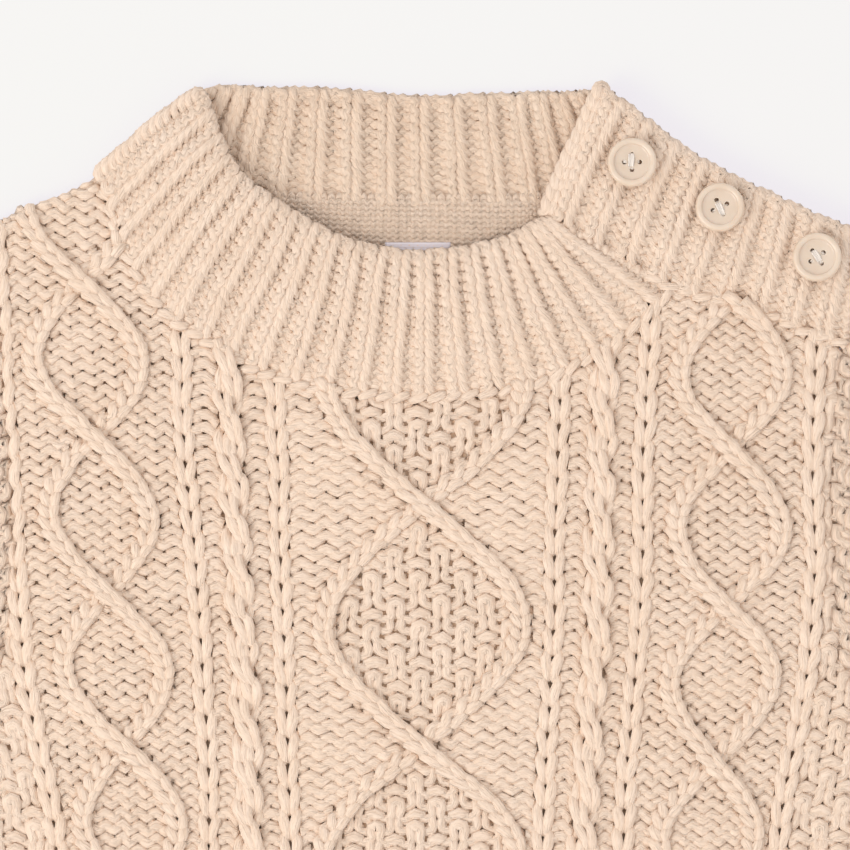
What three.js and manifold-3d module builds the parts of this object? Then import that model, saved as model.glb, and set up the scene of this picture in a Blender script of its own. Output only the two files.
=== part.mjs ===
// A toddler's cable knit pullover laid flat on a surface, front up. Millimetres, +Z up, +Y towards the neck.
// The origin is under the middle of the garment. Every piece of knitting is a closed wall; the front wall carries
// its cables as ridges, and the ribbed pieces carry their ribs.
import * as THREE from 'three';
import { mergeVertices } from 'three/addons/utils/BufferGeometryUtils.js';
import Module from 'manifold-3d';

const wasm = await Module();
wasm.setup();

// ---- driving dimensions ----------------------------------------------------------------------------------
const SEAM = 0.3; // gap between two pieces at a seam
const CUFF_SEAM = 0.36;
const CURVED_SEAM = 0.45; // the same gap along a curve, which leaves room for the flats of the facets
const WALL = 3.0; // thickness of the knitted wall
const BODY_BOTTOM = -136; // where the body meets the hem rib
const HEM_EDGE = -176; // lowest edge of the hem
const HEM_HALF = { edge: 128, rounding: 128.5, seam: 130.5 }; // half the width of the hem as it goes up
const HEM_ROUNDING = 1.5; // height over which the hem's edge thins
const HEM_EDGE_SHARE = 0.6; // of the wall's thickness left at the hem's edge
const UNDERARM = -8; // height of the underarm point
const FRONT_FLOOR = WALL + SEAM; // the front lies on the back
const RIB_HEIGHT = 1.3; // how far a rib stands out
const RIB_CREST = [0.3, 0.7]; // where a rib's flat crest begins and ends, as shares of the rib
const EDGE_ROUNDING = 2.5; // width over which the front thins towards its side edge
const EDGE_SHARE = 0.5; // of the wall's thickness left there
const LEAST_STEP = 0.4; // least distance between two lines of points on the front
const PANEL_TOP = 152; // the front's rows go up to here before its outline is cut
const CUTTER_REACH = 160;
const CUTTER_HEIGHT = 30;
const CABLE_HEIGHT = 2.4; // how far a cable strand stands out
const CABLE_HALF = 3.3; // half the width of a cable strand
const CROSSING_RISE = 0.6; // how much higher two strands stand where they cross
const CHAIN_HEIGHT = 1.8;
const CHAIN_HALF = 3.0;
const ROPE_HEIGHT = 2.8;
const ROPE_HALF = 4.3;
const ROPE_SHOULDER = 0.85; // height halfway down each side of a rope, as a share of its crest
const ROPE_SWING = 1.4; // how far the crest of a rope swings to each side
const ROPE_PITCH = 14.6; // length of one rope crossing
const WAVE_PITCH = 44.2; // height of one oval in a wave cable
const DIAMOND_PITCH = 68.4; // height of one diamond
const DIAMOND_SPREAD = 28.2; // half the width of a diamond
const DIAMOND_CROSSING = 55.4; // height of the upper crossing of the diamond strands
const ROW_STEP = WAVE_PITCH / 7; // spacing of the front's rows of points
const HEM_RIBS = 28;
const CUFF_RIBS = 8;
const BAND_RIBS = 9;
const BAND_WALL = 2.6;
const STAND_WALL = 2.6;
const BAND_END_TRIM = 0.5; // how much thinner the band is at its ends and top edge
const WELT_HEIGHT = 1.1; // of the welt along the band's lower edge
const BAND_STEPS = [0.012, 0.05, 0.12, 0.3, 0.6, 0.95, 1]; // shares of the band's height where points stand
const WELT_END = 0.1; // share of the band's height where the ribs begin
const BUTTON_RADIUS = 7.0;
const BUTTON_THICKNESS = 2.8;
const BUTTON_HOLE_RADIUS = 0.65;
const BUTTON_HOLE_REACH = 2.2; // from the button's middle to each hole
const BUTTON_FACETS = 20;
const HOLE_FACETS = 8;
// The button's section from the middle of its underside, round its rim, to the middle of its dish: shares of the
// radius across, millimetres up.
const BUTTON_PROFILE = [
  [0, 0], [0.8, 0], [0.97, 0.6], [1, 1.4], [0.96, 2.4], [0.88, BUTTON_THICKNESS], [0.76, 2.6], [0.64, 1.9],
  [0, 1.7],
];
const LABEL_LEFT = -9;
const LABEL_WIDTH = 17;
const LABEL_HEIGHT = 20;
const LABEL_THICKNESS = 0.5;
const LABEL_TOP = 131.5;

// Half the width of the body from hem to shoulder tip; the armhole starts at the underarm.
const SIDE_SEAM = [
  { y: BODY_BOTTOM, half: 131 },
  { y: -100, half: 133 },
  { y: -50, half: 135.5 },
  { y: UNDERARM, half: 137 },
];
const ARMHOLE = [
  { y: UNDERARM, half: 137 },
  { y: 0, half: 127 },
  { y: 12, half: 121 },
  { y: 30, half: 118.5 },
  { y: 60, half: 118 },
  { y: 100, half: 120.5 },
  { y: 134, half: 125 },
];

// Where each column of the front stands, from the shoulders down to the hem rib. A rope stands midway between
// two chains.
const COLUMNS = [
  { y: 150, chainA: -123, waveL: -99.5, chainB: -70.5, chainC: -43.8, diamond: 1.2,
    chainD: 41.2, chainE: 66.3, waveR: 89.6, chainF: 114.7, spread: 15 },
  { y: 75, chainA: -118, waveL: -94, chainB: -67.7, chainC: -41.2, diamond: 1.0,
    chainD: 39.2, chainE: 63.8, waveR: 88.3, chainF: 112, spread: 14.8 },
  { y: 10, chainA: -113.7, waveL: -88, chainB: -62.6, chainC: -39.2, diamond: 0.2,
    chainD: 37.0, chainE: 61.4, waveR: 86.2, chainF: 110.7, spread: 14.5 },
  { y: -37, chainA: -104.6, waveL: -83, chainB: -61, chainC: -37.3, diamond: -0.6,
    chainD: 34.8, chainE: 57.6, waveR: 81.3, chainF: 101.7, spread: 13.2 },
  { y: BODY_BOTTOM, chainA: -99, waveL: -79, chainB: -58.5, chainC: -36, diamond: -0.6,
    chainD: 35.4, chainE: 55, waveR: 77, chainF: 97, spread: 12.5 },
];
const WAVE_CROSSING = { waveL: 75, waveR: 71 }; // height of one crossing of each wave cable

// The collar strip, rib by rib: its lower (base) and upper (top) edge in plan. The back half lies on the surface.
const COLLAR_BACK = [
  { at: 0, baseX: 72, baseY: 143.6, topX: 51.5, topY: 173.4 },
  { at: 4, baseX: 36, baseY: 141.6, topX: 30, topY: 174.2 },
  { at: 8, baseX: -5, baseY: 141.0, topX: -5, topY: 174.4 },
  { at: 12, baseX: -48, baseY: 141.8, topX: -42, topY: 174.2 },
  { at: 15, baseX: -78, baseY: 144.4, topX: -57, topY: 173.8 },
  { at: 16, baseX: -91.2, baseY: 147.2, topX: -60.8, topY: 172.8 },
];
const COLLAR_FRONT = [
  { at: 0, baseX: -91.2, baseY: 147.2, topX: -60.8, topY: 172.8, baseZ: 6.3, topZ: 6.4 },
  { at: 2, baseX: -85.5, baseY: 129.5, topX: -56.0, topY: 160.0, baseZ: 5.1, topZ: 7.2 },
  { at: 4, baseX: -75.0, baseY: 113.0, topX: -49.5, topY: 149.6, baseZ: 4.8, topZ: 7.8 },
  { at: 6.5, baseX: -55.5, baseY: 98.6, topX: -37.0, topY: 140.4, baseZ: 4.8, topZ: 8.0 },
  { at: 9, baseX: -33.0, baseY: 89.7, topX: -21.5, topY: 131.8, baseZ: 4.8, topZ: 8.0 },
  { at: 12.5, baseX: 1.0, baseY: 86.3, topX: 1.0, topY: 128.3, baseZ: 4.8, topZ: 8.0 },
  { at: 16, baseX: 35.0, baseY: 91.6, topX: 21.0, topY: 132.6, baseZ: 4.8, topZ: 8.0 },
  { at: 18.5, baseX: 56.5, baseY: 103.8, topX: 31.0, topY: 137.0, baseZ: 4.8, topZ: 7.8 },
  { at: 20, baseX: 69.4, baseY: 116.4, topX: 35.1, topY: 138.1, baseZ: 4.8, topZ: 7.6 },
];
const COLLAR_BACK_RIBS = 16;
const COLLAR_FRONT_RIBS = 20;
const COLLAR_STEPS = [0, 0.08, 0.5, 0.92, 1]; // shares of the collar's height where points stand
const FOLD_RADIUS = 2.4; // of the middle of the wall, where the collar turns from back to front
const FOLD_TURNS = 5;
// The back's ribs show between these and fade out past them.
const NECK_OPENING = { left: -57, right: 34, fade: 6 };
const COLLAR_RISE = 1.3; // the collar reaches its top height at 1 / this share of its width
const RIB_END_SHARE = 0.2; // height of a rib at the collar's edges, as a share of its full height
const COLLAR_END_TRIM = 0.35; // how much thinner the collar's wall is at its edges, on each side

// The buttonhole band on the front shoulder: its lower edge follows the collar's end, then the top of the front.
const BAND = [
  { at: 0, lowX: 35.6, lowY: 138.6, highX: 52.4, highY: 175.2 },
  { at: 2, lowX: 52.6, lowY: 128.6, highX: 67.5, highY: 163.6 },
  { at: 4, lowX: 71.0, lowY: 118.2, highX: 83.5, highY: 153.2 },
  { at: 6.5, lowX: 95.5, lowY: 111.6, highX: 103.5, highY: 143.2 },
  { at: 9, lowX: 120.0, lowY: 102.4, highX: 124.2, highY: 133.6 },
];
const BUTTONS = [
  { name: 'button_1', x: 59.8, y: 152.8, turn: 0 },
  { name: 'button_2', x: 84.8, y: 140.0, turn: 25 },
  { name: 'button_3', x: 112.4, y: 125.8, turn: 35 },
];

// The sleeve, from the armhole to the cuff seam: plan corners at the cuff, and how the cloth leaves the armhole.
const SLEEVE = {
  cuffTop: [283, 31], cuffUnder: [225.5, -33],
  leaveTop: [165, -66], leaveUnder: [60, -50], arriveTop: [140, -126], arriveUnder: [80, -72],
};
const CUFF_END = { top: [309.5, 2.0], under: [258.5, -54.5] };

const KNIT = { color: 0xe9d0bb, roughness: 0.95, metalness: 0 };
const BUTTON = { color: 0xd9bfa6, roughness: 0.35, metalness: 0 };
const LABEL = { color: 0xded2de, roughness: 0.8, metalness: 0 };

// ---- tools for shapes ------------------------------------------------------------------------------------
// A smooth line through a table: each column is a cubic between rows, with the slope of the rows around it.
function between(rows, key, at, column) {
  const rising = rows[0][key] < rows[rows.length - 1][key] ? rows : [...rows].reverse();
  const last = rising.length - 1;
  const slope = (i) => {
    const a = rising[Math.max(i - 1, 0)];
    const b = rising[Math.min(i + 1, last)];
    return (b[column] - a[column]) / (b[key] - a[key]);
  };
  const i = Math.min(Math.max(rising.findIndex((row) => row[key] > at) - 1, 0), last - 1);
  const k = at >= rising[last][key] ? last - 1 : i;
  const [a, b] = [rising[k], rising[k + 1]];
  const span = b[key] - a[key];
  const t = Math.min(Math.max((at - a[key]) / span, 0), 1);
  const [t2, t3] = [t * t, t * t * t];
  return (2 * t3 - 3 * t2 + 1) * a[column] + (t3 - 2 * t2 + t) * span * slope(k)
    + (3 * t2 - 2 * t3) * b[column] + (t3 - t2) * span * slope(k + 1);
}

const mix = (a, b, t) => a + (b - a) * t;
const ease = (t) => { const c = Math.min(Math.max(t, 0), 1); return c * c * (3 - 2 * c); };

// A body from points and faces, turned so that its faces point out.
function body(points, faces) {
  let volume = 0;
  for (const [i, j, k] of faces) {
    const [a, b, c] = [points[i], points[j], points[k]];
    volume += a[0] * (b[1] * c[2] - b[2] * c[1]) + a[1] * (b[2] * c[0] - b[0] * c[2])
      + a[2] * (b[0] * c[1] - b[1] * c[0]);
  }
  const geometry = new THREE.BufferGeometry();
  geometry.setAttribute('position', new THREE.Float32BufferAttribute(points.flat(), 3));
  geometry.setIndex(faces.flatMap(([i, j, k]) => (volume > 0 ? [i, j, k] : [i, k, j])));
  return geometry;
}

// The loop of points round the edge of a grid with the given rows and columns.
function edgeLoop(rows, columns) {
  const at = (i, j) => i * columns + j;
  return [
    ...Array.from({ length: columns - 1 }, (_, j) => at(0, j)),
    ...Array.from({ length: rows - 1 }, (_, i) => at(i, columns - 1)),
    ...Array.from({ length: columns - 1 }, (_, j) => at(rows - 1, columns - 1 - j)),
    ...Array.from({ length: rows - 1 }, (_, i) => at(rows - 1 - i, 0)),
  ];
}

// The triangles of a grid of points.
function gridFaces(rows, columns, first = 0) {
  const faces = [];
  for (let i = 0; i + 1 < rows; i += 1) {
    for (let j = 0; j + 1 < columns; j += 1) {
      const a = first + i * columns + j;
      faces.push([a, a + 1, a + columns + 1], [a, a + columns + 1, a + columns]);
    }
  }
  return faces;
}

// A wall between two grids of points of the same size: the two grids, joined round their edges.
function slab(top, bottom) {
  const [rows, columns] = [top.length, top[0].length];
  const shift = rows * columns;
  const faces = gridFaces(rows, columns);
  faces.push(...gridFaces(rows, columns, shift).map(([i, j, k]) => [i, k, j]));
  const loop = edgeLoop(rows, columns);
  loop.forEach((p, n) => {
    const q = loop[(n + 1) % loop.length];
    faces.push([q, p, shift + p], [q, shift + p, shift + q]);
  });
  return body([...top.flat(), ...bottom.flat()], faces);
}

// A wall with points on top and a plain flat underside at height z.
function plate(top, z) {
  const [rows, columns] = [top.length, top[0].length];
  const points = top.flat();
  const faces = gridFaces(rows, columns);
  const loop = edgeLoop(rows, columns);
  const first = points.length;
  const under = loop.map((p) => [points[p][0], points[p][1], z]);
  loop.forEach((p, n) => {
    const next = (n + 1) % loop.length;
    faces.push([loop[next], p, first + n], [loop[next], first + n, first + next]);
  });
  const outline = under.map(([x, y]) => new THREE.Vector2(x, y));
  for (const [i, j, k] of THREE.ShapeUtils.triangulateShape(outline, [])) {
    faces.push([first + i, first + k, first + j]);
  }
  return body([...points, ...under], faces);
}

// A tube of cloth: rings of outer and inner points, open at both ends.
function tube(outer, inner) {
  const [count, ring] = [outer.length, outer[0].length];
  const points = [...outer.flat(), ...inner.flat()];
  const shift = count * ring;
  const faces = [];
  for (let s = 0; s + 1 < count; s += 1) {
    for (let m = 0; m < ring; m += 1) {
      const n = (m + 1) % ring;
      const [a, b, c, d] = [s * ring + m, s * ring + n, (s + 1) * ring + n, (s + 1) * ring + m];
      faces.push([a, b, c], [a, c, d], [shift + a, shift + c, shift + b], [shift + a, shift + d, shift + c]);
    }
  }
  for (let m = 0; m < ring; m += 1) {
    const n = (m + 1) % ring;
    const end = (count - 1) * ring;
    faces.push([m, shift + m, n], [n, shift + m, shift + n]);
    faces.push([end + m, end + n, shift + end + m], [end + n, shift + end + n, shift + end + m]);
  }
  return body(points, faces);
}

// A solid for joining and cutting, and back.
function toSolid(geometry) {
  const merged = geometry.clone();
  merged.deleteAttribute('normal');
  merged.deleteAttribute('uv');
  const welded = mergeVertices(merged, 1e-4);
  return new wasm.Manifold(new wasm.Mesh({
    numProp: 3,
    vertProperties: new Float32Array(welded.attributes.position.array),
    triVerts: new Uint32Array(welded.index.array),
  }));
}

function fromSolid(solid) {
  const mesh = solid.getMesh();
  const geometry = new THREE.BufferGeometry();
  geometry.setAttribute('position', new THREE.Float32BufferAttribute(mesh.vertProperties, 3));
  geometry.setIndex([...mesh.triVerts]);
  return geometry;
}

// A flat piece of cloth cut to an outline, from height low to height high.
function cutOut(outline, low, high) {
  const shape = new THREE.Shape(outline.map(([x, y]) => new THREE.Vector2(x, y)));
  const geometry = new THREE.ExtrudeGeometry(shape, { depth: high - low, bevelEnabled: false });
  return geometry.translate(0, 0, low);
}

// ---- outlines --------------------------------------------------------------------------------------------
const halfWidth = (y) => between(y < UNDERARM ? SIDE_SEAM : ARMHOLE, 'y', y, 'half');
const steps = (count) => Array.from({ length: count + 1 }, (_, i) => i / count);

// Points along an edge of a table of sections, moved to its right hand side (looking along it) by the seam.
function edgeOf(rows, xColumn, yColumn, count, aside) {
  const last = rows[rows.length - 1].at;
  const point = (at) => [between(rows, 'at', at, xColumn), between(rows, 'at', at, yColumn)];
  return steps(count).map((t) => {
    const [a, b] = [point(Math.max(t * last - 0.05, 0)), point(Math.min(t * last + 0.05, last))];
    const length = Math.hypot(b[0] - a[0], b[1] - a[1]);
    const [x, y] = point(t * last);
    return [x + ((b[1] - a[1]) / length) * aside, y - ((b[0] - a[0]) / length) * aside];
  });
}

// The armhole seam as shares of its length, from the shoulder tip to the underarm, for both sides of the seam.
const SHOULDER_TIP = 133.6;
const ARMHOLE_SHARES = [0, 0.012, 0.035, 0.12, 0.3, 0.5, 0.7, 0.8, 0.88, 0.94, 0.975, 0.99, 1];
const armholeHeight = (t) => mix(SHOULDER_TIP, UNDERARM, t);
const armholeSide = (side) => ARMHOLE_SHARES.map((t) => [side * halfWidth(armholeHeight(t)), armholeHeight(t)]);
const NECK_POINT = [-92.8, 148.5]; // where the left shoulder meets the collar's fold
const BUTTONED_NECK_POINT = [92.5, 148.0]; // the back's neck point, under the shoulder band

// ---- front -----------------------------------------------------------------------------------------------
function spreadOf(y, crossing, pitch, widest) {
  return widest * Math.abs(Math.sin((Math.PI * (y - crossing)) / pitch));
}

// The ridges across the front at height y, as lines from left to right: where each line is and how high.
function frontLines(y) {
  const column = (name) => between(COLUMNS, 'y', y, name);
  const edge = halfWidth(y);
  const lines = [{ x: -edge, z: EDGE_SHARE * WALL }, { x: -edge + EDGE_ROUNDING, z: WALL }];
  const ridge = (x, half, height) => lines.push(
    { x: x - half, z: WALL }, { x, z: WALL + height }, { x: x + half, z: WALL });
  const strands = (x, spread, height) => {
    const apart = Math.max(spread, CABLE_HALF + 0.1);
    const crossing = ease(1 - spread / (2 * CABLE_HALF));
    ridge(x - apart, CABLE_HALF, height + CROSSING_RISE * crossing);
    lines[lines.length - 1].z += height * crossing;
    ridge(x + apart, CABLE_HALF, height + CROSSING_RISE * crossing);
    lines[lines.length - 3].z += height * crossing;
  };
  const rope = (x) => {
    const phase = (y / ROPE_PITCH) * 2 * Math.PI;
    const shoulder = WALL + ROPE_HEIGHT * ROPE_SHOULDER;
    lines.push({ x: x - ROPE_HALF, z: WALL }, { x: x - ROPE_HALF / 2, z: shoulder },
      { x: x + ROPE_SWING * Math.sin(phase), z: WALL + ROPE_HEIGHT },
      { x: x + ROPE_HALF / 2, z: shoulder }, { x: x + ROPE_HALF, z: WALL });
  };
  const wave = (name) => strands(column(name),
    spreadOf(y, WAVE_CROSSING[name], WAVE_PITCH, column('spread')), CABLE_HEIGHT);
  ridge(column('chainA'), CHAIN_HALF, CHAIN_HEIGHT);
  wave('waveL');
  ridge(column('chainB'), CHAIN_HALF, CHAIN_HEIGHT);
  rope((column('chainB') + column('chainC')) / 2);
  ridge(column('chainC'), CHAIN_HALF, CHAIN_HEIGHT);
  strands(column('diamond'), spreadOf(y, DIAMOND_CROSSING, DIAMOND_PITCH, DIAMOND_SPREAD), CABLE_HEIGHT);
  ridge(column('chainD'), CHAIN_HALF, CHAIN_HEIGHT);
  rope((column('chainD') + column('chainE')) / 2);
  ridge(column('chainE'), CHAIN_HALF, CHAIN_HEIGHT);
  wave('waveR');
  ridge(column('chainF'), CHAIN_HALF, CHAIN_HEIGHT);
  lines.push({ x: edge - EDGE_ROUNDING, z: WALL }, { x: edge, z: EDGE_SHARE * WALL });
  for (let i = 1; i < lines.length; i += 1) {
    lines[i].x = Math.max(lines[i].x, lines[i - 1].x + LEAST_STEP);
  }
  for (let i = lines.length - 2; i >= 0; i -= 1) {
    lines[i].x = Math.min(lines[i].x, lines[i + 1].x - LEAST_STEP);
  }
  return lines;
}

function frontPanel() {
  const rows = Math.round((PANEL_TOP - BODY_BOTTOM) / ROW_STEP);
  const grid = steps(rows).map((t) => {
    const y = mix(BODY_BOTTOM, PANEL_TOP, t);
    return frontLines(y).map(({ x, z }) => [x, y, FRONT_FLOOR + z]);
  });
  const collarEnd = COLLAR_FRONT[COLLAR_FRONT.length - 1].baseX;
  const bandEdge = edgeOf(BAND, 'lowX', 'lowY', BAND_RIBS * 2, CURVED_SEAM)
    .filter(([x]) => x > collarEnd + 2);
  const bandEnd = bandEdge[bandEdge.length - 1];
  const outline = [
    [-CUTTER_REACH, BODY_BOTTOM - 1], [-CUTTER_REACH, UNDERARM], ...armholeSide(-1).reverse(), NECK_POINT,
    ...edgeOf(COLLAR_FRONT, 'baseX', 'baseY', COLLAR_FRONT_RIBS * 2, CURVED_SEAM),
    ...bandEdge, ...armholeSide(1).filter(([, y]) => y < bandEnd[1]),
    [CUTTER_REACH, UNDERARM], [CUTTER_REACH, BODY_BOTTOM - 1],
  ];
  const cutter = cutOut(outline, 0, CUTTER_HEIGHT);
  return fromSolid(toSolid(plate(grid, FRONT_FLOOR)).intersect(toSolid(cutter)));
}

// ---- back ------------------------------------------------------------------------------------------------
function backPanel() {
  const neckline = edgeOf(COLLAR_BACK, 'baseX', 'baseY', COLLAR_BACK_RIBS, -CURVED_SEAM).reverse();
  const outline = [
    ...SIDE_SEAM.map(({ y, half }) => [-half, y]), ...armholeSide(-1).reverse().slice(1),
    ...neckline, BUTTONED_NECK_POINT,
    ...armholeSide(1), ...SIDE_SEAM.slice(0, -1).reverse().map(({ y, half }) => [half, y]),
  ];
  return cutOut(outline, 0, WALL);
}

// ---- hem -------------------------------------------------------------------------------------------------
// Ribs as a line of points: for each rib a valley and two crests, and a closing valley.
function ribStations(count) {
  const stations = [];
  for (let rib = 0; rib < count; rib += 1) {
    stations.push({ at: rib, up: 0 }, { at: rib + RIB_CREST[0], up: 1 }, { at: rib + RIB_CREST[1], up: 1 });
  }
  stations.push({ at: count, up: 0 });
  return stations;
}

function hemRib(floor, ribHeight) {
  const rows = [
    { y: HEM_EDGE, half: HEM_HALF.edge, thick: HEM_EDGE_SHARE },
    { y: HEM_EDGE + HEM_ROUNDING, half: HEM_HALF.rounding, thick: 1 },
    { y: BODY_BOTTOM - SEAM, half: HEM_HALF.seam, thick: 1 },
  ];
  const stations = ribHeight > 0 ? ribStations(HEM_RIBS) : [{ at: 0, up: 0 }, { at: HEM_RIBS, up: 0 }];
  const grid = rows.map(({ y, half, thick }) => stations.map(({ at, up }) => {
    const side = (at / HEM_RIBS) * 2 - 1;
    return [side * half, y, floor + (WALL + up * ribHeight) * thick];
  }));
  return plate(grid, floor);
}

// ---- sleeves and cuffs -----------------------------------------------------------------------------------
// A point of the sleeve in plan: s runs from armhole to cuff, t from the upper edge to the underarm edge.
// Each line along the sleeve is a cubic that leaves the armhole one way and arrives at the cuff another.
function sleevePoint(s, t) {
  const y = armholeHeight(t);
  const lean = between(ARMHOLE, 'y', y + 1, 'half') - between(ARMHOLE, 'y', y, 'half');
  const armhole = (k) => (k === 0 ? halfWidth(y) + CURVED_SEAM * Math.hypot(1, lean) : y);
  const [s2, s3] = [s * s, s * s * s];
  return [0, 1].map((k) => (2 * s3 - 3 * s2 + 1) * armhole(k)
    + (s3 - 2 * s2 + s) * mix(SLEEVE.leaveTop[k], SLEEVE.leaveUnder[k], t)
    + (3 * s2 - 2 * s3) * mix(SLEEVE.cuffTop[k], SLEEVE.cuffUnder[k], t)
    + (s3 - s2) * mix(SLEEVE.arriveTop[k], SLEEVE.arriveUnder[k], t));
}

// Height of a tube's wall at its edge, as a share of its height in the middle, inside and outside.
const TUBE_EDGE = { inner: 0.6, outer: 0.35 };

// A ring of a flattened tube between plan points t = 0 and t = 1: the upper side, then the lower side.
// Its inner ring is a slit as high as a seam gap, so that the two layers lie on each other.
function flatRing(point, shares, ribs, inner) {
  const width = Math.hypot(point(1)[0] - point(0)[0], point(1)[1] - point(0)[1]);
  const inset = (inner ? WALL : 0) / width;
  const middle = WALL + SEAM / 2;
  const half = inner ? SEAM / 2 : middle;
  const side = (sign) => shares.map(({ t, up }) => {
    const [x, y] = point(mix(inset, 1 - inset, t));
    const rounding = Math.min(1, Math.min(t, 1 - t) * width / WALL);
    const circle = Math.sqrt(rounding * (2 - rounding));
    const roll = inner ? mix(TUBE_EDGE.inner, 1, rounding) : mix(TUBE_EDGE.outer, 1, circle);
    return [x, y, middle + sign * (half * roll + (inner || sign < 0 ? 0 : up * ribs * rounding))];
  });
  return [...side(1), ...side(-1).reverse()];
}

const SLEEVE_STEPS = 8;

function sleeve(side) {
  const shares = ARMHOLE_SHARES.map((t) => ({ t, up: 0 }));
  const along = steps(SLEEVE_STEPS);
  const mirrored = (s) => (t) => { const [x, y] = sleevePoint(s, t); return [side * x, y]; };
  return tube(along.map((s) => flatRing(mirrored(s), shares, 0, false)),
    along.map((s) => flatRing(mirrored(s), shares, 0, true)));
}

// How far in the cuff starts from each edge of the sleeve's end, as a share of its width.
const CUFF_TUCK = 0.03;

function cuff(side) {
  const start = [SLEEVE.cuffTop, SLEEVE.cuffUnder];
  const away = [CUFF_END.top[0] - start[0][0], CUFF_END.top[1] - start[0][1]];
  const gap = CUFF_SEAM / Math.hypot(...away);
  const shares = [{ t: 0, up: 0 }, { t: CUFF_TUCK, up: 0 },
    ...ribStations(CUFF_RIBS).slice(1, -1).map(({ at, up }) => ({ t: at / CUFF_RIBS, up })),
    { t: 1 - CUFF_TUCK, up: 0 }, { t: 1, up: 0 }];
  const plan = (s) => (t) => [0, 1].map((k) => {
    const a = mix(start[0][k], start[1][k], mix(CUFF_TUCK, 1 - CUFF_TUCK, t));
    const b = mix(CUFF_END.top[k], CUFF_END.under[k], t);
    return mix(a, b, s) * (k === 0 ? side : 1);
  });
  const along = [gap, 0.5, 1];
  return tube(along.map((s) => flatRing(plan(s), shares, RIB_HEIGHT, false)),
    along.map((s) => flatRing(plan(s), shares, 0, true)));
}

// ---- collar ----------------------------------------------------------------------------------------------
// The collar is one strip of rib: it lies on the surface behind the neck, turns over at the left and comes back
// over itself in front. At each station the strip runs straight from its base to its top edge.
function collar() {
  const corner = COLLAR_FRONT[0];
  const foldAlong = new THREE.Vector2(corner.topX - corner.baseX, corner.topY - corner.baseY).normalize();
  const foldOut = new THREE.Vector2(-foldAlong.y, foldAlong.x);
  const lowMiddle = WALL / 2;
  const stations = [];
  const point = (row, v, z) => [mix(row.baseX, row.topX, v), mix(row.baseY, row.topY, v), z];
  const read = (rows, at, names) => Object.fromEntries(
    names.map((name) => [name, between(rows, 'at', at, name)]));
  const plan = ['baseX', 'baseY', 'topX', 'topY'];
  for (const { at, up } of ribStations(COLLAR_BACK_RIBS).slice(0, -1)) {
    const row = read(COLLAR_BACK, at, plan);
    const shows = ease((NECK_OPENING.right - row.topX) / NECK_OPENING.fade)
      * ease((row.topX - NECK_OPENING.left) / NECK_OPENING.fade);
    const middle = (v) => point(row, v, lowMiddle);
    stations.push({ up: up * shows, down: true, middle, normal: () => [0, 0, -1] });
  }
  for (let turn = 0; turn <= FOLD_TURNS; turn += 1) {
    const angle = (Math.PI * turn) / FOLD_TURNS;
    const out = FOLD_RADIUS * Math.sin(angle);
    const z = lowMiddle + FOLD_RADIUS * (1 - Math.cos(angle));
    stations.push({
      up: 0,
      down: false,
      middle: (v) => {
        const [x, y] = point(corner, v, z);
        return [x + foldOut.x * out, y + foldOut.y * out, z];
      },
      normal: () => [foldOut.x * Math.sin(angle), foldOut.y * Math.sin(angle), -Math.cos(angle)],
    });
  }
  const heights = [...plan, 'baseZ', 'topZ'];
  const frontPoint = (at, v) => {
    const row = read(COLLAR_FRONT, at, heights);
    return new THREE.Vector3(...point(row, v, mix(row.baseZ, row.topZ, ease(v * COLLAR_RISE))));
  };
  for (const { at, up } of ribStations(COLLAR_FRONT_RIBS).slice(1)) {
    const normal = (v) => {
      const along = frontPoint(Math.min(at + 0.2, COLLAR_FRONT_RIBS), v).sub(frontPoint(at - 0.2, v));
      const across = frontPoint(at, Math.min(v + 0.05, 1)).sub(frontPoint(at, Math.max(v - 0.05, 0)));
      return along.cross(across).normalize().toArray();
    };
    stations.push({ up, down: false, middle: (v) => frontPoint(at, v).toArray(), normal });
  }
  const wall = (outer) => stations.map(({ up, down, middle, normal }) => COLLAR_STEPS.map((v) => {
    const end = v === 0 || v === 1;
    const rib = down !== outer ? up * RIB_HEIGHT * (end ? RIB_END_SHARE : 1) : 0;
    const trim = end && !(down && outer) ? COLLAR_END_TRIM : 0;
    const far = (outer ? 1 : -1) * (WALL / 2 + rib - trim);
    const [m, n] = [middle(v), normal(v)];
    return m.map((value, k) => value + n[k] * far);
  }));
  return slab(wall(true), wall(false));
}

// ---- shoulder bands and buttons --------------------------------------------------------------------------
const STAND_LOW = 0.34;
const STAND_HIGH = 0.95;
const STAND_TOP = FRONT_FLOOR + STAND_WALL;
const STAND_FIRST = 0.6; // where the stand starts and ends along the band, in ribs
const STAND_LAST = BAND_RIBS - 0.15;

function bandPoint(at, v) {
  const [x0, y0] = [between(BAND, 'at', at, 'lowX'), between(BAND, 'at', at, 'lowY')];
  const [x1, y1] = [between(BAND, 'at', at, 'highX'), between(BAND, 'at', at, 'highY')];
  return [mix(x0, x1, v), mix(y0, y1, v)];
}

// The band rises from the front's level, over the edge of the button stand, to lie on the stand.
function bandFloor(at, v) {
  const overStand = STAND_TOP + SEAM - FRONT_FLOOR;
  return FRONT_FLOOR + overStand * Math.max(ease((v - 0.04) / 0.24), 0.95 * ease(1 - at / 4));
}

function shoulderBandFront() {
  const stations = ribStations(BAND_RIBS);
  const wall = (top) => stations.map(({ at, up }) => BAND_STEPS.map((v) => {
    const end = v === 1 || at === 0 || at === BAND_RIBS;
    const welt = v < WELT_END ? WELT_HEIGHT * Math.sin((Math.PI * (v + 0.03)) / 0.16) : 0;
    const rib = v >= WELT_END && !end ? up * RIB_HEIGHT : 0;
    const thick = top ? BAND_WALL - (end ? BAND_END_TRIM : 0) + welt + rib : 0;
    return [...bandPoint(at, v), bandFloor(at, v) + thick];
  }));
  return slab(wall(true), wall(false));
}

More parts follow.
